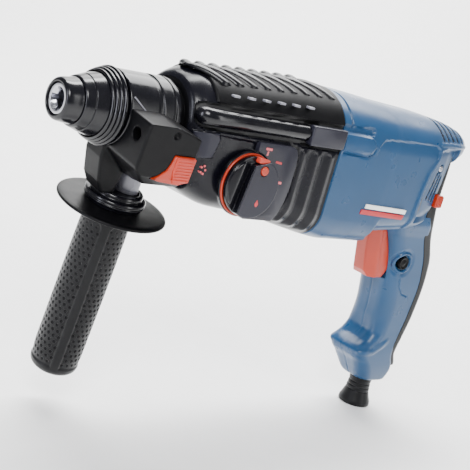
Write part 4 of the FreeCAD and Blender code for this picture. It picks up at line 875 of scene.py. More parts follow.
def back_relief(x, y, z, ny, nz):
    """How far each point of the motor housing stands out or lies in."""
    side = smooth(np.abs(ny), 0.35, 0.6)
    lift = -1.2 * smooth(x, 205.0, 204.4)
    # hoop grooves over the top behind the seam
    hoop = np.abs(x - (211.5 + 0.12 * np.maximum(0, 30 - z)))
    lift += channel(hoop, 2.2, 1.5) * smooth(z, 17.5, 19.0)
    # rounded boss behind the clip, a notch above it and a line under it
    boss = line_distance(x, z, [(196.0, 7.4), (230.5, 7.4)])
    lift += side * 2.0 * smooth(boss, 6.6, 5.2)
    notch = area_distance(x, z, [(200.0, 14.6), (234.8, 14.6), (236.4, 17.6), (234.8, 19.6), (200.0, 19.0)])
    lift -= side * 2.0 * smooth(notch, 0.4, -0.9)
    lift += side * channel(line_distance(x, z, [(207.0, -0.2), (233.5, -0.2), (238.0, 2.0), (239.4, 6.0)]),
            1.8, 1.0)
    # sunk side panel
    lift -= side * 1.5 * smooth(area_distance(x, z, PANEL), 0.2, -1.0)
    # scoop ahead of the back edge, with slits, two screw wells and the slider's slot
    lift -= side * 4.2 * smooth(area_distance(x, z, SCOOP), 0.4, -2.6)
    for line in SLITS:
        lift += side * channel(line_distance(x, z, line), 3.0, 2.6)
    for spot in SCREW_WELLS:
        lift -= side * 3.0 * smooth(np.hypot(x - spot[0], z - spot[1]), 3.6, 2.7)
    # curved vent slits round the back of the crown
    for bent in vent_gaps(x, z):
        lift += channel(bent, 4.4, 3.0) * smooth(z, 16.6, 18.2) * smooth(np.abs(y), 2.0, 5.0)
    # bead above the scoop
    bead = line_distance(x, z, [(318.0, 15.6), (336.0, 15.8), (366.0, 14.0)])
    lift += side * 0.8 * smooth(bead, 1.8, 0.6)
    return lift


def build_motor_housing():
    """The blue motor housing, ahead of and above the grip."""
    places = np.concatenate([[204.05, 204.1], np.arange(204.4, 245.0, 0.6), np.arange(245.0, 314.0, 0.8),
            np.arange(314.0, 361.9, 0.34), 362.0 + 7.0 * np.sin(np.linspace(0.05, math.pi / 2, 12))])
    inset = np.zeros(len(places))
    inset[0], inset[1] = 2.4, 0.5
    inset[-12:] = 5.6 * (1 - np.cos(np.linspace(0.05, math.pi / 2, 12))) ** 1.2
    shell = long_shell("motor_housing_shell", places, inset, BACK, back_relief, (False, True))
    x, y, z = face_middles(shell)
    # Painted shade: faces in the vents, slits, screw wells, hoop groove and at the front seam get the
    # near-black shade finish.
    shade_faces = np.zeros(len(x), bool)
    for bent in vent_gaps(x, z):
        shade_faces |= (bent < 1.7) & (z > 17.6) & (np.abs(y) > 3.5)
    for line in SLITS:
        shade_faces |= (line_distance(x, z, line) < 1.25) & (np.abs(y) > 20)
    for spot in SCREW_WELLS:
        shade_faces |= (np.hypot(x - spot[0], z - spot[1]) < 3.0) & (np.abs(y) > 20)
    shade_faces |= (np.abs(x - 211.5) < 0.6) & (z > 19.0)
    shade_faces |= (x < 204.6)
    slot = block("slot", (336.4, -40.0, -43.6), (345.6, -12.0, -23.4), 0.3, 1.0)
    way = trigger_way()
    dress(shell, "housing", "blue_nylon", "motor_housing", shade_faces=shade_faces)
    carve(shell, way, slot)


def trigger_way():
    """Room for the trigger in the housing."""
    return prism("way", [(290.0, -20.0), (331.0, -20.0), (333.0, -80.0), (332.8, -87.8), (327.8, -98.4),
            (318.0, -101.0), (290.0, -101.0)], -12.0, 12.0, "xz", 0.05)


GRIP = [  # z, front, back, half width, front corner radius
    (-24.0, 296.0, 347.0, 24.0, 12.0), (-40.0, 298.0, 347.0, 23.5, 12.5),
    (-50.0, 303.0, 350.0, 24.0, 12.5), (-56.0, 307.5, 352.5, 22.6, 12.5),
    (-62.0, 312.0, 355.0, 21.0, 12.5), (-84.0, 322.0, 365.0, 19.6, 12.5),
    (-104.0, 326.0, 367.0, 19.2, 12.5), (-128.0, 329.5, 365.0, 19.0, 12.5),
    (-143.0, 328.0, 361.8, 19.0, 12.5), (-151.0, 323.5, 360.0, 19.0, 12.0),
    (-156.5, 318.0, 359.0, 19.2, 11.0), (-160.0, 316.2, 359.0, 19.3, 10.0),
    (-164.5, 317.6, 359.8, 19.2, 10.5), (-170.0, 322.5, 362.5, 18.8, 11.5),
    (-176.0, 327.0, 364.2, 17.8, 11.5), (-184.0, 333.0, 363.2, 15.6, 11.0),
    (-187.0, 336.5, 361.5, 14.0, 10.0)]


def grip_rows(levels, inset):
    """Rings of the grip at given heights, as (x, y), with normals; starts at the front middle."""
    front, back, half, radius = eased(GRIP[::-1], levels)
    across, along, na, nl = ring_of(half - inset, front + inset, back - inset, radius - inset,
            np.full(len(levels), 6.0), (6, 30, 34, 16, 10))
    return along, across, nl, na


def grip_relief(x, y, z, nx, ny):
    """How far each point of the grip stands out or lies in."""
    side = smooth(np.abs(ny), 0.3, 0.6)
    near = side * (y < 0)
    away = np.hypot(x - LOCK[0], z - LOCK[1])
    # dished seat, bright lip and gap of the lock-on button
    dish, brim, gap = smooth(away, 12.5, 9.5), smooth(away, 9.4, 8.4), smooth(away, 7.2, 6.2)
    lift = near * (-0.9 * dish + 1.5 * brim - 2.6 * gap)
    # joint line that runs down and back from the lip
    lift += side * channel(line_distance(x, z, [(335.0, -96.0), (337.5, -103.0), (343.0, -108.5),
            (350.0, -110.5)]), 1.6, 0.8)
    # ridge that carries the finger lip round the side
    ridge = line_distance(x, z, [(318.0, -160.0), (330.0, -158.5), (345.0, -150.0)])
    lift += side * 1.1 * smooth(ridge, 4.0, 0.3) * smooth(x, 349.0, 338.0)
    # hollow for the little finger above the lip
    hollow = smooth(np.abs(y), 16.0, 2.0) * smooth(z, -161.0, -151.0) * smooth(z, -130.0, -146.0)
    lift -= 3.2 * hollow * smooth(nx, -0.2, -0.7)
    # joint between the halves of the grip, down the middle of its front
    return lift + channel(np.abs(y), 1.0, 0.5) * smooth(nx, -0.5, -0.8)


def build_grip():
    """The blue grip, its soft back cover and the cable's bend-protection boot."""
    levels = np.concatenate([-187.0 + np.linspace(0, 2.5, 8), np.arange(-184.0, -26.0, 0.62)])
    inset = np.zeros(len(levels))
    inset[:8] = 3.0 * (1 - np.sqrt(1 - (1 - np.linspace(0, 1, 8)) ** 2))
    x, y, nx, ny = grip_rows(levels, inset)
    z = levels[:, None] + 0 * x
    lift = grip_relief(x, y, z, nx, ny)
    shell = skin("grip_shell", np.stack([x + nx * lift, y + ny * lift, z], -1))
    way = trigger_way()
    slot = block("slot", (336.4, -40.0, -43.6), (345.6, -12.0, -20.0), 0.3, 1.0)
    hole = lathe("hole", [(-30.0, 0.0), (-30.0, 5.7), (-11.6, 5.7), (-11.6, 0.0)], "y", LOCK, 48)
    bore = lathe("bore", [(-190.0, 0.0), (-190.0, 6.6), (-168.0, 6.6), (-168.0, 0.0)], "z", (BOOT_X, 0.0), 48)
    carve(shell, way, slot, hole, bore)
    dress(shell, "housing", "blue_nylon")
    # soft strip down the back of the grip
    levels = np.concatenate([np.linspace(-172.5, -171.0, 5), np.arange(-170.0, 9.0, 1.0),
            np.linspace(9.0, 10.5, 5)])
    spine = [(-176.0, 361.0, 367.5, 16.5), (-172.0, 360.5, 367.6, 17.4), (-160.0, 355.0, 362.7, 18.8),
            (-146.0, 357.0, 365.2, 19.2), (-128.0, 360.5, 369.1, 19.3), (-104.0, 362.5, 371.0, 19.5),
            (-84.0, 359.0, 369.0, 20.0), (-62.0, 348.5, 359.2, 21.4), (-46.0, 340.5, 352.6, 23.6),
            (-30.0, 337.0, 350.6, 23.2), (-8.0, 338.5, 351.6, 22.6), (12.0, 343.0, 353.4, 20.6)]
    front, back, half = eased(spine, levels)
    shrink = np.zeros(len(levels))
    rim = np.array([1.6, 0.9, 0.4, 0.1, 0.0])
    shrink[:5], shrink[-5:] = rim, rim[::-1]
    across, along, na, nl = ring_of(half - shrink, front - 2.0, back - shrink, np.full(len(levels), 0.8),
            np.full(len(levels), 6.5), (5, 4, 8, 18, 12))
    z = levels[:, None] + 0 * along
    ridges = channel(np.abs((z + 62.0) % 5.0 - 2.5), 1.4, 0.5) * smooth(nl, 0.7, 0.95)
    ridges = ridges * smooth(z, -160.0, -156.0) * smooth(z, -64.0, -68.0)
    strip = skin("grip_back_cover", np.stack([along + nl * ridges, across + na * ridges, z], -1))
    dress(strip, "housing", "soft_black_tpe", "handle_cover")
    boot = [(-169.0, 4.1), (-169.0, 8.4, 0.5), (-172.0, 8.4, 0.3), (-172.0, 6.5, 0.2), (-186.6, 6.5, 0.2),
            (-186.6, 9.6, 0.9), (-190.5, 9.2, 1.0)]
    for index in range(3):
        start = -192.0 - 3.4 * index
        boot += [(start, 9.0 + 0.35 * index, 0.4), (start - 0.7, 8.5 + 0.35 * index, 0.3),
                (start - 1.4, 9.1 + 0.4 * index, 0.4)]
    boot += [(-204.0, 11.2, 1.5), (-208.5, 13.0, 1.2), (-210.6, 13.0, 0.8), (-211.5, 12.2, 0.5),
            (-211.5, 4.1, 0.5)]
    dress(lathe("cable_boot_moulded", softened(boot, 0.4), "z", (BOOT_X, 0.0), 96), "housing",
            "soft_black_tpe", "cable_boot")
    # screws in the scoop and down the side of the grip
    head = lathe("housing_screws", softened([(-1.4, 0.0), (-1.4, 2.3, 0.7), (0.4, 2.3, 0.1),
            (0.4, 0.9, 0.1), (-0.5, 0.8, 0.1), (-0.5, 0.0)], 0.2), "y", (0.0, 0.0), 32, 0.6)
    head.data.transform(Matrix.Translation((322.0 * MM, -27.0 * MM, 5.5 * MM)))
    run_tree(head, row_tree(), {"Count": 2, "Start": (0.0, 0.0, 0.0), "Step": (0.010, 0.0015, -0.009),
            "Growth": 0.0, "Material": finish_of("ground_steel")})
    dress(head, "housing", "ground_steel")


def build_decals():
    """Plain bars where the maker's print would be, and simple marks round the dial."""
    side, plate = (-38.2, -35.8), (PLATE_Y - 0.12, PLATE_Y + 0.38)
    marks = [
        ("side_print_white", "white", side, [(247.0, -37.2), (292.0, -38.8), (292.6, -35.6), (247.6, -34.0)]),
        ("side_print_red", "red", side, [(243.0, -41.6), (290.0, -43.2), (291.6, -39.8), (244.0, -38.2)]),
        ("mark_hammer_head", "pink", plate, [(134.0, -3.2), (139.5, -3.4), (139.5, -5.0), (134.0, -4.8)]),
        ("mark_hammer_shaft", "pink", plate, [(135.8, -5.4), (137.2, -5.4), (137.0, -8.4), (135.6, -8.4)]),
        ("mark_bit", "red", plate, [(145.5, -11.0), (151.0, -11.6), (151.0, -13.0), (145.5, -12.4)]),
        ("mark_both_head", "pink", plate, [(149.0, -24.0), (155.5, -24.4), (155.5, -26.0), (149.0, -25.6)]),
        ("mark_both_shaft", "pink", plate, [(150.8, -26.6), (152.8, -26.6), (151.6, -32.0), (150.2, -31.8)]),
        ("mark_track", "red", plate, [(146.6, -24.0), (147.3, -24.0), (146.2, -33.0), (145.4, -33.0)]),
    ]
    for name, ink, (near, far), points in marks:
        dress(prism(name, softened(points, 0.3), near, far, "xz", 0.05), "housing", ink + "_print_ink")
    dots = []
    for index in range(5):
        a = 2 * math.pi * index / 5
        x, z = 92.8 + 1.9 * math.cos(a), -24.0 + 2.6 * math.sin(a)
        dots.append(lathe("dot", [(-34.6, 0.0), (-34.6, 0.7), (-32.0, 0.7), (-32.0, 0.0)], "y", (x, z), 12))
    dress(joined("mark_dots", dots), "housing", "pink_print_ink")


# ---- side handle

BUTTON = [(62.0, -8.9), (78.0, -8.9), (78.0, -25.0), (71.0, -27.6), (56.0, -26.4), (50.5, -25.2),
        (55.0, -22.8), (59.6, -18.6), (61.4, -13.5)]


def bracket_field(x, y, z):
    """Clamp block, leg, post and the seats cut into them, in the handle's own frame."""
    outline = [(-18.0, 8.6), (-44.2, 8.6), (-44.2, -24.0), (-37.0, -32.0), (-20.0, -37.0), (12.0, -37.0),
            (20.0, -28.0), (25.4, -10.0), (22.0, -4.0), (10.0, -8.0)]
    body = wedge(area_distance(y, z, outline), x, 37.0, 78.2, 1.4)
    slope = (x - 52.0) * 0.30 + (z - 10.6)
    body = both(body, slope, 1.2)
    toe = (48.0 - x) * 0.85 - (z + 30.0)
    body = both(body, toe, 2.0)
    shin = area_distance(x, z, [(37.0, -18.0), (37.2, -30.0), (41.5, -46.0), (46.5, -53.4), (55.5, -53.4),
            (58.0, -40.0), (59.0, -18.0)])
    leg = wedge(shin, y, -9.6, 9.6, 1.8)
    body = union(body, leg, 2.4)
    post = bar(x - 72.0, y, z, 6.1, -53.4, -28.0, 0.8)
    body = union(body, post, 1.5)
    gusset = wedge(area_distance(x, z, [(58.0, -30.0), (78.0, -30.0), (76.0, -38.0), (62.0, -36.0)]), y,
            -8.5, 8.5, 1.2)
    body = union(body, gusset, 1.5)
    body = minus(body, bar(y, z, x, 23.55, 20.0, 100.0, 0.1), 0.4)
    body = minus(body, bar(y + 33.5, z + 2.0, x, 4.1, 20.0, 100.0, 0.1), 0.4)
    button = area_distance(x, z, BUTTON) - 0.45
    body = minus(body, wedge(button, y, -60.0, -35.8, 0.1), 0.4)
    dimple = np.sqrt((x - 58.2) ** 2 + (y + 44.4) ** 2 + (z - 3.6) ** 2) - 2.4
    return minus(body, dimple, 0.5)


def build_side_handle():
    """Clamp band, bracket, collar and hand guard, the dimpled grip and the depth-stop button."""
    band = softened([(36.2, 21.15), (36.2, 23.2, 0.3), (37.0, 23.6, 0.3), (57.8, 23.6, 0.2),
            (58.2, 22.7, 0.2), (61.2, 22.7, 0.2), (61.6, 23.6, 0.2), (69.6, 23.6, 0.2), (69.9, 22.9, 0.2),
            (71.0, 22.9, 0.2), (71.3, 23.6, 0.2), (74.2, 23.6, 0.3), (75.0, 23.0, 0.3), (75.0, 21.15)], 0.2)
    dress(leaned(lathe("clamp_band_moulded", band, longest=1.2)), "side_handle", "polished_black_abs",
            "clamp_band")
    # Painted highlight: two light-grey strokes on the band, put where a glint falls.
    highlight_chevron = []
    for a, b in (((38.5, 14.6), (46.8, 8.4)), ((46.8, 8.4), (41.6, 1.8))):
        rows = []
        for t in np.linspace(0, 1, 12):
            x, z = a[0] + (b[0] - a[0]) * t, a[1] + (b[1] - a[1]) * t
            y = -math.sqrt(23.6**2 - z * z)
            rows.append([(x + 0.3 * math.cos(k), y - 0.25 + 0.35 * math.sin(k),
                    z + 0.3 * math.cos(k)) for k in np.linspace(0, 2 * math.pi, 8, endpoint=False)])
        highlight_chevron.append(skin("stroke", np.array(rows)))
    dress(leaned(joined("band_highlight_chevron", highlight_chevron)), "side_handle", "grey_gloss_and_painted_highlight")
    bracket = meshed("bracket_block", bracket_field, (35.0, -47.0, -56.0), (81.0, 29.0, 12.0), 0.62)
    dress(leaned(bracket), "side_handle", "black_glass_nylon", "handle_bracket")
    sleeve = softened([(-53.4, 6.2), (-53.4, 8.4, 0.3), (-51.6, 8.5, 0.2), (-51.4, 8.0, 0.2),
            (-50.9, 8.0, 0.2), (-50.7, 8.4, 0.2), (-42.0, 8.0, 0.3), (-41.0, 7.4, 0.5), (-41.0, 6.2)], 0.2)
    dress(leaned(lathe("post_sleeve_polished", sleeve, "z", (71.6, 0.0))), "side_handle", "grey_gloss_and_painted_highlight")
    collar = softened([(-53.5, 4.1), (-53.5, 13.6, 0.3), (-52.2, 14.2, 0.5), (-52.2, 16.8, 0.8),
            (-53.9, 17.6, 0.4), (-54.6, 16.8, 0.3), (-55.4, 17.2, 0.3), (-56.0, 19.9, 0.8),
            (-57.4, 20.4, 0.4), (-58.0, 19.4, 0.3), (-58.8, 19.5, 0.3), (-59.2, 20.2, 0.4),
            (-60.4, 20.0, 0.5), (-60.8, 19.0, 0.3), (-62.5, 18.8, 0.3), (-62.5, 4.1)], 0.3)
    dress(leaned(lathe("collar_stepped", collar, "z", (HANDLE_X, 0.0), longest=1.0)), "side_handle",
            "polished_black_abs", "handle_collar")
    guard = softened([(-63.0, 4.5), (-63.0, 20.0, 3.0), (-63.4, 34.0, 2.0), (-64.0, 36.2, 0.8),
            (-65.4, 36.5, 0.7), (-66.3, 35.2, 0.6), (-65.6, 30.0, 3.0), (-66.2, 20.0, 3.0), (-66.4, 4.5)],
            0.4)
    dress(leaned(lathe("hand_guard_disc", guard, "z", (HANDLE_X, 0.0), 160)), "side_grip",
            "black_glass_nylon", "hand_guard")
    dress(leaned(soft_grip()), "side_grip", "soft_black_tpe", "soft_grip")
    face = prism("depth_button_face", softened([(63.4, -9.2), (77.8, -9.2), (77.8, -24.8), (70.8, -26.6),
            (66.0, -26.2), (63.4, -19.0)], 0.6), -46.0, -42.0, "xz", 0.5)
    side = prism("depth_button_strip", softened(BUTTON, 0.9), -45.2, -41.9, "xz", 0.7)
    dress(leaned(side), "depth_button", "moulded_red_abs", "depth_stop_button")
    dress(leaned(face), "depth_button", "red_pale_abs")
    rib = block("depth_button_ribs", (64.4, -46.5, -10.6), (77.2, -45.6, -9.9), 0.15, 0.3)
    run_tree(rib, row_tree(), {"Count": 8, "Start": (0.0, 0.0, 0.0), "Step": (0.0, 0.0, -0.00195),
            "Growth": 0.0, "Material": finish_of("red_pale_abs")})
    dress(leaned(rib), "depth_button", "red_pale_abs")


def soft_grip():
    """The turned grip with three sunk panels of staggered pits."""
    sizes = settings()
    profile = softened([(-66.35, 15.4, 0.2), (-70.0, 16.4, 2.0), (-84.0, 16.9, 8.0), (-130.0, 17.2, 8.0),
            (-176.0, 17.2, 5.0), (-184.6, 15.8, 3.0), (-187.4, 12.0, 2.5), (-187.4, 0.0)], 0.5, 8, False)
    profile = dense(profile, 0.75, False)
    z = np.array([p[0] for p in profile])[:, None]
    radius = np.array([p[1] for p in profile])[:, None]
    turn = np.linspace(0, 2 * math.pi, 220, endpoint=False)[None, :]
    panel, first = 2 * math.pi / 3, math.radians(-62)
    away = np.abs((turn - first + panel / 2) % panel - panel / 2) * 17.0
    edge = np.minimum(15.4 - away, np.minimum(-72.0 - z, z + 181.0))
    corner = np.hypot(np.maximum(0, 6.0 - (15.4 - away)), np.maximum(0, 6.0 - (-72.0 - z)))
    edge = np.where((away > 9.4) & (z > -78.0), np.minimum(edge, 6.0 - corner), edge)
    sunk = radius - 0.9 * smooth(edge, 0.0, 1.4) * (radius > 13)
    grid = np.stack([sunk * np.cos(turn), sunk * np.sin(turn), z + 0 * turn], -1)
    piece = skin("soft_grip_dimpled", np.concatenate([np.stack([12.0 * np.cos(turn), 12.0 * np.sin(turn),
            -66.35 + 0 * turn], -1), grid]), (True, False))
    tree = pit_tree()
    for k in range(3):
        middle = first + panel * k
        run_tree(piece, tree, {"Rings": sizes.pit_rings, "Pits per ring": 7, "Pitch": 0.00385,
                "Top": -0.0768, "Radius": 0.0166, "Pit radius": sizes.pit_radius,
                "From angle": middle - 0.79, "Angle step": 0.245, "Material": finish_of("soft_black_tpe")})
    smoothed(piece.data)
    piece.data.transform(Matrix.Translation((HANDLE_X * MM, 0, 0)))
    return piece


# ---- controls

def knob_field(x, y, z):
    """The dial's knob: a low disc, a crescent on the left and a raised wing on the right."""
    u, v = x - DIAL[0], z - DIAL[1]
    across = u * math.cos(DIAL_LEAN) - v * math.sin(DIAL_LEAN)
    disc = bar(u, v, y, 19.6, -46.0, -42.9, 0.5)
    wing = both(bar(u, v, y, 19.6, -50.9, -43.0, 0.7), -(across + 6.6), 0.8)
    wing = both(wing, z + 12.9 - 0.25 * (x - 124.5), 0.6)
    crescent = both(bar(u, v, y, 18.8, -48.2, -43.0, 0.6), across + 12.2, 0.6)
    crescent = both(crescent, (-y - 48.4) + 0.32 * (-(across + 12.2)), 0.5)
    hole = bar(x - 128.5, z + 16.5, y, 3.35, -60.0, -45.0, 0.1)
    return minus(union(union(disc, wing, 0.5), crescent, 0.4), hole, 0.3)


def build_dial():
    """Ring with its pointer, knob and release button."""
    ring = softened([(-40.8, 19.0), (-40.8, 20.6, 0.2), (-42.4, 20.8, 0.3), (-43.0, 20.3, 0.3),
            (-42.6, 19.7, 0.2), (-42.4, 19.0)], 0.2)
    dress(lathe("dial_ring_turned", ring, "y", DIAL), "dial", "moulded_red_abs", "dial_ring")
    base = softened([(-38.9, 0.0), (-38.9, 21.4, 0.3), (-41.4, 21.4, 0.5), (-41.6, 20.9, 0.2),
            (-41.2, 20.5, 0.2), (-41.2, 0.0)], 0.2)
    dress(lathe("dial_base", base, "y", DIAL), "dial", "polished_black_abs")
    shaft = softened([(-39.0, 0.0), (-39.0, 7.0, 0.3), (-29.2, 7.0, 0.3), (-29.2, 0.0)], 0.2)
    dress(lathe("dial_shaft", shaft, "y", DIAL, 64), "dial", "moulded_red_abs")
    knob = meshed("dial_knob_winged", knob_field, (103.0, -53.0, -50.0), (146.0, -41.0, -7.0), 0.42)
    x, y, z = face_middles(knob)
    across = (x - DIAL[0]) * math.cos(DIAL_LEAN) - (z - DIAL[1]) * math.sin(DIAL_LEAN)
    dress(knob, "dial", "polished_black_abs", "dial_knob")
    knob.data.materials.append(finish_of("slate_face_nylon"))
    knob.data.polygons.foreach_set("material_index", ((across > -6.2) & (y < -49.8)).astype(np.int32))
    pointer = block("dial_pointer", (121.6, -49.6, -12.4), (130.6, -42.0, -8.9), 0.5, 0.8)
    spin = Matrix.Rotation(math.radians(6), 4, "Y")
    middle = Matrix.Translation((DIAL[0] * MM, 0, DIAL[1] * MM))
    pointer.data.transform(middle @ spin @ middle.inverted())
    dress(pointer, "dial", "red_pale_abs")
    button = softened([(-51.8, 0.0), (-51.8, 2.4, 0.6), (-51.2, 3.0, 0.4), (-47.2, 3.0, 0.2), (-47.2, 0.0)],
            0.2)
    dress(lathe("dial_release_cap", button, "y", (128.5, -16.5), 40, 0.6), "release", "moulded_red_abs",
            "dial_release")
    drop = softened([(127.4, -38.6, 1.0), (129.0, -35.2, 0.3), (130.8, -38.4, 1.0), (129.2, -40.4, 1.2)], 0.6)
    dress(prism("mark_drop", drop, -51.05, -50.5, "xz", 0.05), "dial", "red_print_ink")


def trigger_field(x, y, z):
    """The trigger with its chamfered front and its pivot hole."""
    side = area_distance(x, z, [(297.4, -60.2), (304.0, -58.7), (322.0, -58.7), (328.2, -66.0),
            (328.2, -89.0), (321.6, -98.4), (309.6, -99.2), (305.6, -95.0), (301.6, -80.0)])
    body = wedge(side, y, -11.55, 11.55, 1.1)
    front = 300.6 + (-60.0 - z) * 0.235
    chamfer = (np.abs(y) - 5.6) * 0.80 - (x - front + 3.2) * 0.60
    body = both(body, chamfer, 0.8)
    valley = np.abs(np.abs(y) - 11.0) + np.abs(x - front - 8.0)
    body = body + 0.25 * np.clip(1 - valley / 3.0, 0, 1)
    hole = bar(x - 318.0, z + 62.5, y, 1.7, -20.0, 20.0, 0.05)
    return minus(body, hole, 0.2)


def build_controls():
    """Trigger, lock-on button and reversing slider."""
    trigger = meshed("trigger_moulded", trigger_field, (295.0, -13.0, -101.0), (330.0, 13.0, -57.0), 0.55)
    dress(trigger, "trigger", "moulded_red_abs", "trigger")
    cap = softened([(-20.2, 0.0), (-19.2, 3.2, 0.6), (-20.1, 4.4, 0.5), (-19.9, 5.2, 0.4),
            (-15.1, 5.2, 0.2), (-15.1, 0.0)], 0.3)
    dress(lathe("lock_button_dished", cap, "y", LOCK, 64, 0.6), "lock_button", "black_glass_nylon",
            "lock_on_button")
    grips = []
    for index in range(4):
        x = 338.4 + 1.75 * index
        grips.append(block("ridge", (x, -28.6, -33.2), (x + 0.9, -27.4, -24.8), 0.25, 0.35))
    tip = block("tip", (337.3, -28.0, -34.0), (344.7, -22.0, -24.0), 0.7, 1.2)
    stem = block("stem", (338.6, -22.2, -32.0), (343.4, -15.6, -26.0), 0.2, 0.4)
    dress(joined("direction_lever_ridged", grips + [tip, stem]), "lever", "moulded_red_abs",
            "direction_lever")


# ---- nodes kept from the frame

KEPT = {
    "ground_steel": ["tool_holder", "locking_balls", "spindle_bearing", "layshaft_bearing",
        "motor_bearings", "clamp_screws",
                     "clamp_bolt"],
    "oiled_gear_steel": ["hammer_tube", "spindle_gear", "impact_bolt", "striker", "piston", "wobble_plate",
        "layshaft",
                         "wobble_hub", "driven_gear", "shift_sleeve", "armature_shaft"],
    "drawn_spring_wire": ["lock_spring", "clutch_spring", "button_spring"],
    "stamped_lamination": ["stator_core", "armature_core"],
    "enamelled_copper": ["field_coils", "armature_winding", "commutator"],
    "stamped_brass": ["brush_holders", "layshaft_bush"],
    "pressed_carbon": ["carbon_brushes"],
    "blasted_aluminium": ["gear_case_plate"],
    "inner_nylon": ["motor_end_plate", "switch_module", "capacitor", "cable_clamp", "cooling_fan",
        "grip_core"],
    "soft_black_tpe": ["spindle_seal"],
}


def dress_kept():
    """Materials for the nodes that are shown as they come."""
    for material, names in KEPT.items():
        for name in names:
            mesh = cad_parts[name].data
            mesh.materials.clear()
            mesh.materials.append(finish_of(material))
            smoothed(mesh, 30.0)


# ---- stage

def area_light(name, place, aim, width, height, power, tint=(1.0, 1.0, 1.0)):
    """A rectangular light at a place, turned towards aim; sizes in metres."""
    data = bpy.data.lights.new(name, "AREA")
    data.shape, data.size, data.size_y, data.energy, data.color = "RECTANGLE", width, height, power, tint
    made = placed(name, data)
    made.location = place
    made.rotation_euler = (Vector(aim) - Vector(place)).to_track_quat("-Z", "Y").to_euler()


def build_stage():
    """Pale sweep, soft lights and the camera."""
    sizes = settings()
    profile = [(-3.0, FLOOR_Z * MM), (1.6, FLOOR_Z * MM)]
    profile += [(1.6 + 1.4 * math.sin(a), FLOOR_Z * MM + 1.4 * (1 - math.cos(a))) for a in np.linspace(0.1,
            math.pi / 2, 16)]
    profile += [(3.0, 4.0)]
    facing = Matrix.Rotation(VIEW_TURN, 4, "Z")
    points, faces = [], []
    for along, up in profile:
        for across in (-6.0, 6.0):
            points.append(facing @ Vector((across, along, up)))
    for k in range(len(profile) - 1):
        faces.append((2 * k, 2 * k + 1, 2 * k + 3, 2 * k + 2))
    mesh = bpy.data.meshes.new("studio_sweep")
    mesh.from_pydata(points, [], faces)
    mesh.polygons.foreach_set("use_smooth", [True] * len(mesh.polygons))
    sweep = placed("studio_sweep", mesh)
    # Seamless white paper.
    mesh.materials.append(surface("studio_paper", "#f4f4f3", 0.9, 1.2, 0.02, mottle=0.01, wear=0.0))
    world = bpy.data.worlds.new("soft_room")
    world.use_nodes = True
    room = world.node_tree.nodes["Background"].inputs
    room["Color"].default_value = (0.93, 0.95, 1.0, 1.0)
    room["Strength"].default_value = sizes.room_light
    bpy.context.scene.world = world
    aim = (0.17, 0.0, -0.05)
    area_light("backdrop_wash", (1.2, 1.2, 1.6), (1.3, 1.8, -0.2), 2.4, 2.4, 170.0)
    area_light("key_softbox", (-0.75, -0.95, 1.05), aim, 0.6, 0.6, 28.0)
    area_light("side_softbox", (0.75, -1.25, 0.35), aim, 0.4, 1.2, 9.0)
    area_light("top_strip", (0.25, 0.35, 1.25), aim, 1.2, 0.3, 26.0)
    area_light("front_strip", (-1.15, -0.1, 0.1), aim, 0.25, 1.2, 12.0, (0.86, 0.88, 1.0))
    level = math.cos(VIEW_RISE)
    back = Vector((math.sin(VIEW_TURN) * level, -math.cos(VIEW_TURN) * level, math.sin(VIEW_RISE)))
    right = (-back).cross(Vector((0, 0, 1))).normalized()
    up = right.cross(-back)
    tilted = right * math.cos(VIEW_ROLL) + up * math.sin(VIEW_ROLL)
    upright = up * math.cos(VIEW_ROLL) - right * math.sin(VIEW_ROLL)
    data = bpy.data.cameras.new("camera")
    data.sensor_width, data.lens = 36.0, 88.01
    camera = placed("camera", data)
    place = Vector((0.16785, 0.0, -0.07535)) + back * 0.79473
    turn = Matrix((tilted, upright, back)).transposed()
    camera.matrix_world = Matrix.Translation(place) @ turn.to_4x4()
    bpy.context.scene.camera = camera


# ---- add-on

class HammerSettings(bpy.types.PropertyGroup):
    """Sizes, counts and colours that a user would change"""
    shell_colour: bpy.props.FloatVectorProperty(
        name="Shell colour", description="Colour of the motor housing and grip", size=3, min=0.0, max=1.0,
        default=colour("#1a4165"), subtype="COLOR")
    accent_colour: bpy.props.FloatVectorProperty(
        name="Accent colour", description="Colour of the trigger, slider, button and dial ring", size=3,
        min=0.0,
        max=1.0, default=colour("#a82b0d"), subtype="COLOR")
    rib_count: bpy.props.IntProperty(name="Cover ribs", description="Slanting ribs on the cover", default=9,
            min=1, max=14)
    rib_pitch: bpy.props.FloatProperty(name="Rib pitch",
            description="Distance between ribs along the housing", default=0.0116, min=0.004, max=0.03,
            subtype="DISTANCE", unit="LENGTH")
    # Count of the painted highlights: light-grey dashes under the cover ribs.
    highlight_dash_count: bpy.props.IntProperty(name="Glints", description="Small glints under the ribs",
            default=6, min=1, max=12)
    pit_rings: bpy.props.IntProperty(name="Pit rings", description="Rings of pits down the side grip",
            default=27, min=2, max=60)
    pit_radius: bpy.props.FloatProperty(name="Pit radius", description="Radius of one pit in the side grip",
            default=0.00135, min=0.0003, max=0.003, subtype="DISTANCE", unit="LENGTH")
    vent_count: bpy.props.IntProperty(name="Vents", description="Vent slits over the back", default=5,
            min=1, max=8)
    vent_pitch: bpy.props.FloatProperty(name="Vent pitch", description="Distance between the vent slits",
            default=0.0078, min=0.004, max=0.02, subtype="DISTANCE", unit="LENGTH")
    room_light: bpy.props.FloatProperty(name="Room light",
            description="Strength of the even light round the stage", default=0.30, min=0.0, max=5.0)


class HammerStep(bpy.types.Operator):
    """One step of the build"""
    bl_options = {"REGISTER"}

    def execute(self, context):
        self.work()
        return {"FINISHED"}


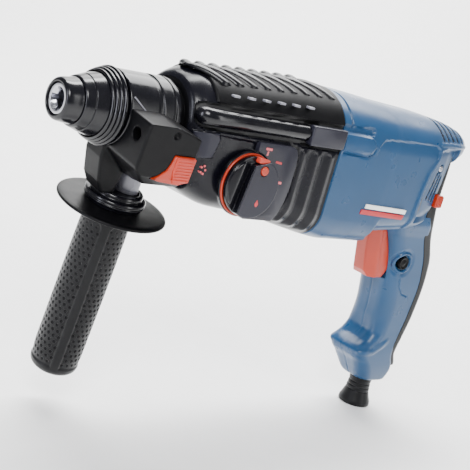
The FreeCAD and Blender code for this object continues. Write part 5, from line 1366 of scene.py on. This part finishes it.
def step(word, label, text, work):
    """An operator class that runs one build function."""
    return type("HAMMER_OT_" + word, (HammerStep,), {
        "bl_idname": "hammer." + word, "bl_label": label, "__doc__": text, "work": lambda self: work()})


STEPS = [
    step("materials", "Materials", "Makes every finish", make_materials),
    step("kept", "Inner parts", "Gives the parts kept from the frame their finishes", dress_kept),
    step("chuck", "Chuck", "Builds dust cap, locking sleeve and backing ring", build_chuck),
    step("gear_housing", "Gear housing", "Builds the slate gear housing", build_gear_housing),
    step("cover", "Ribbed cover", "Builds the cover with ribs and windows", build_cover),
    step("trim", "Trim", "Builds rails, clips and icon plate", build_trim),
    step("motor_housing", "Motor housing", "Builds the blue motor housing", build_motor_housing),
    step("grip", "Grip", "Builds grip, back cover, boot and screws", build_grip),
    step("decals", "Marks", "Builds the plain printed marks", build_decals),
    step("side_handle", "Side handle", "Builds band, bracket, collar, guard, grip and depth button",
        build_side_handle),
    step("dial", "Dial", "Builds the mode dial", build_dial),
    step("controls", "Controls", "Builds trigger, lock-on button and slider", build_controls),
    step("stage", "Stage", "Builds floor, lights and camera", build_stage),
]


class HAMMER_PT_panel(bpy.types.Panel):
    """Settings and steps of the rotary hammer"""
    bl_label = "Rotary hammer"
    bl_space_type = "VIEW_3D"
    bl_region_type = "UI"
    bl_category = "Hammer"

    def draw(self, context):
        for name in HammerSettings.__annotations__:
            self.layout.prop(context.scene.hammer, name)
        for item in STEPS:
            self.layout.operator(item.bl_idname)


def register():
    """Adds the settings, operators and panel."""
    bpy.utils.register_class(HammerSettings)
    bpy.types.Scene.hammer = bpy.props.PointerProperty(type=HammerSettings)
    for item in STEPS + [HAMMER_PT_panel]:
        bpy.utils.register_class(item)


def unregister():
    """Takes them away again."""
    for item in reversed(STEPS + [HAMMER_PT_panel]):
        bpy.utils.unregister_class(item)
    del bpy.types.Scene.hammer
    bpy.utils.unregister_class(HammerSettings)


def main():
    """Runs every step in order and writes the boxes down."""
    register()
    for item in STEPS:
        word = item.bl_idname.split(".")[1]
        getattr(bpy.ops.hammer, word)()


if __name__ == "__main__":
    main()
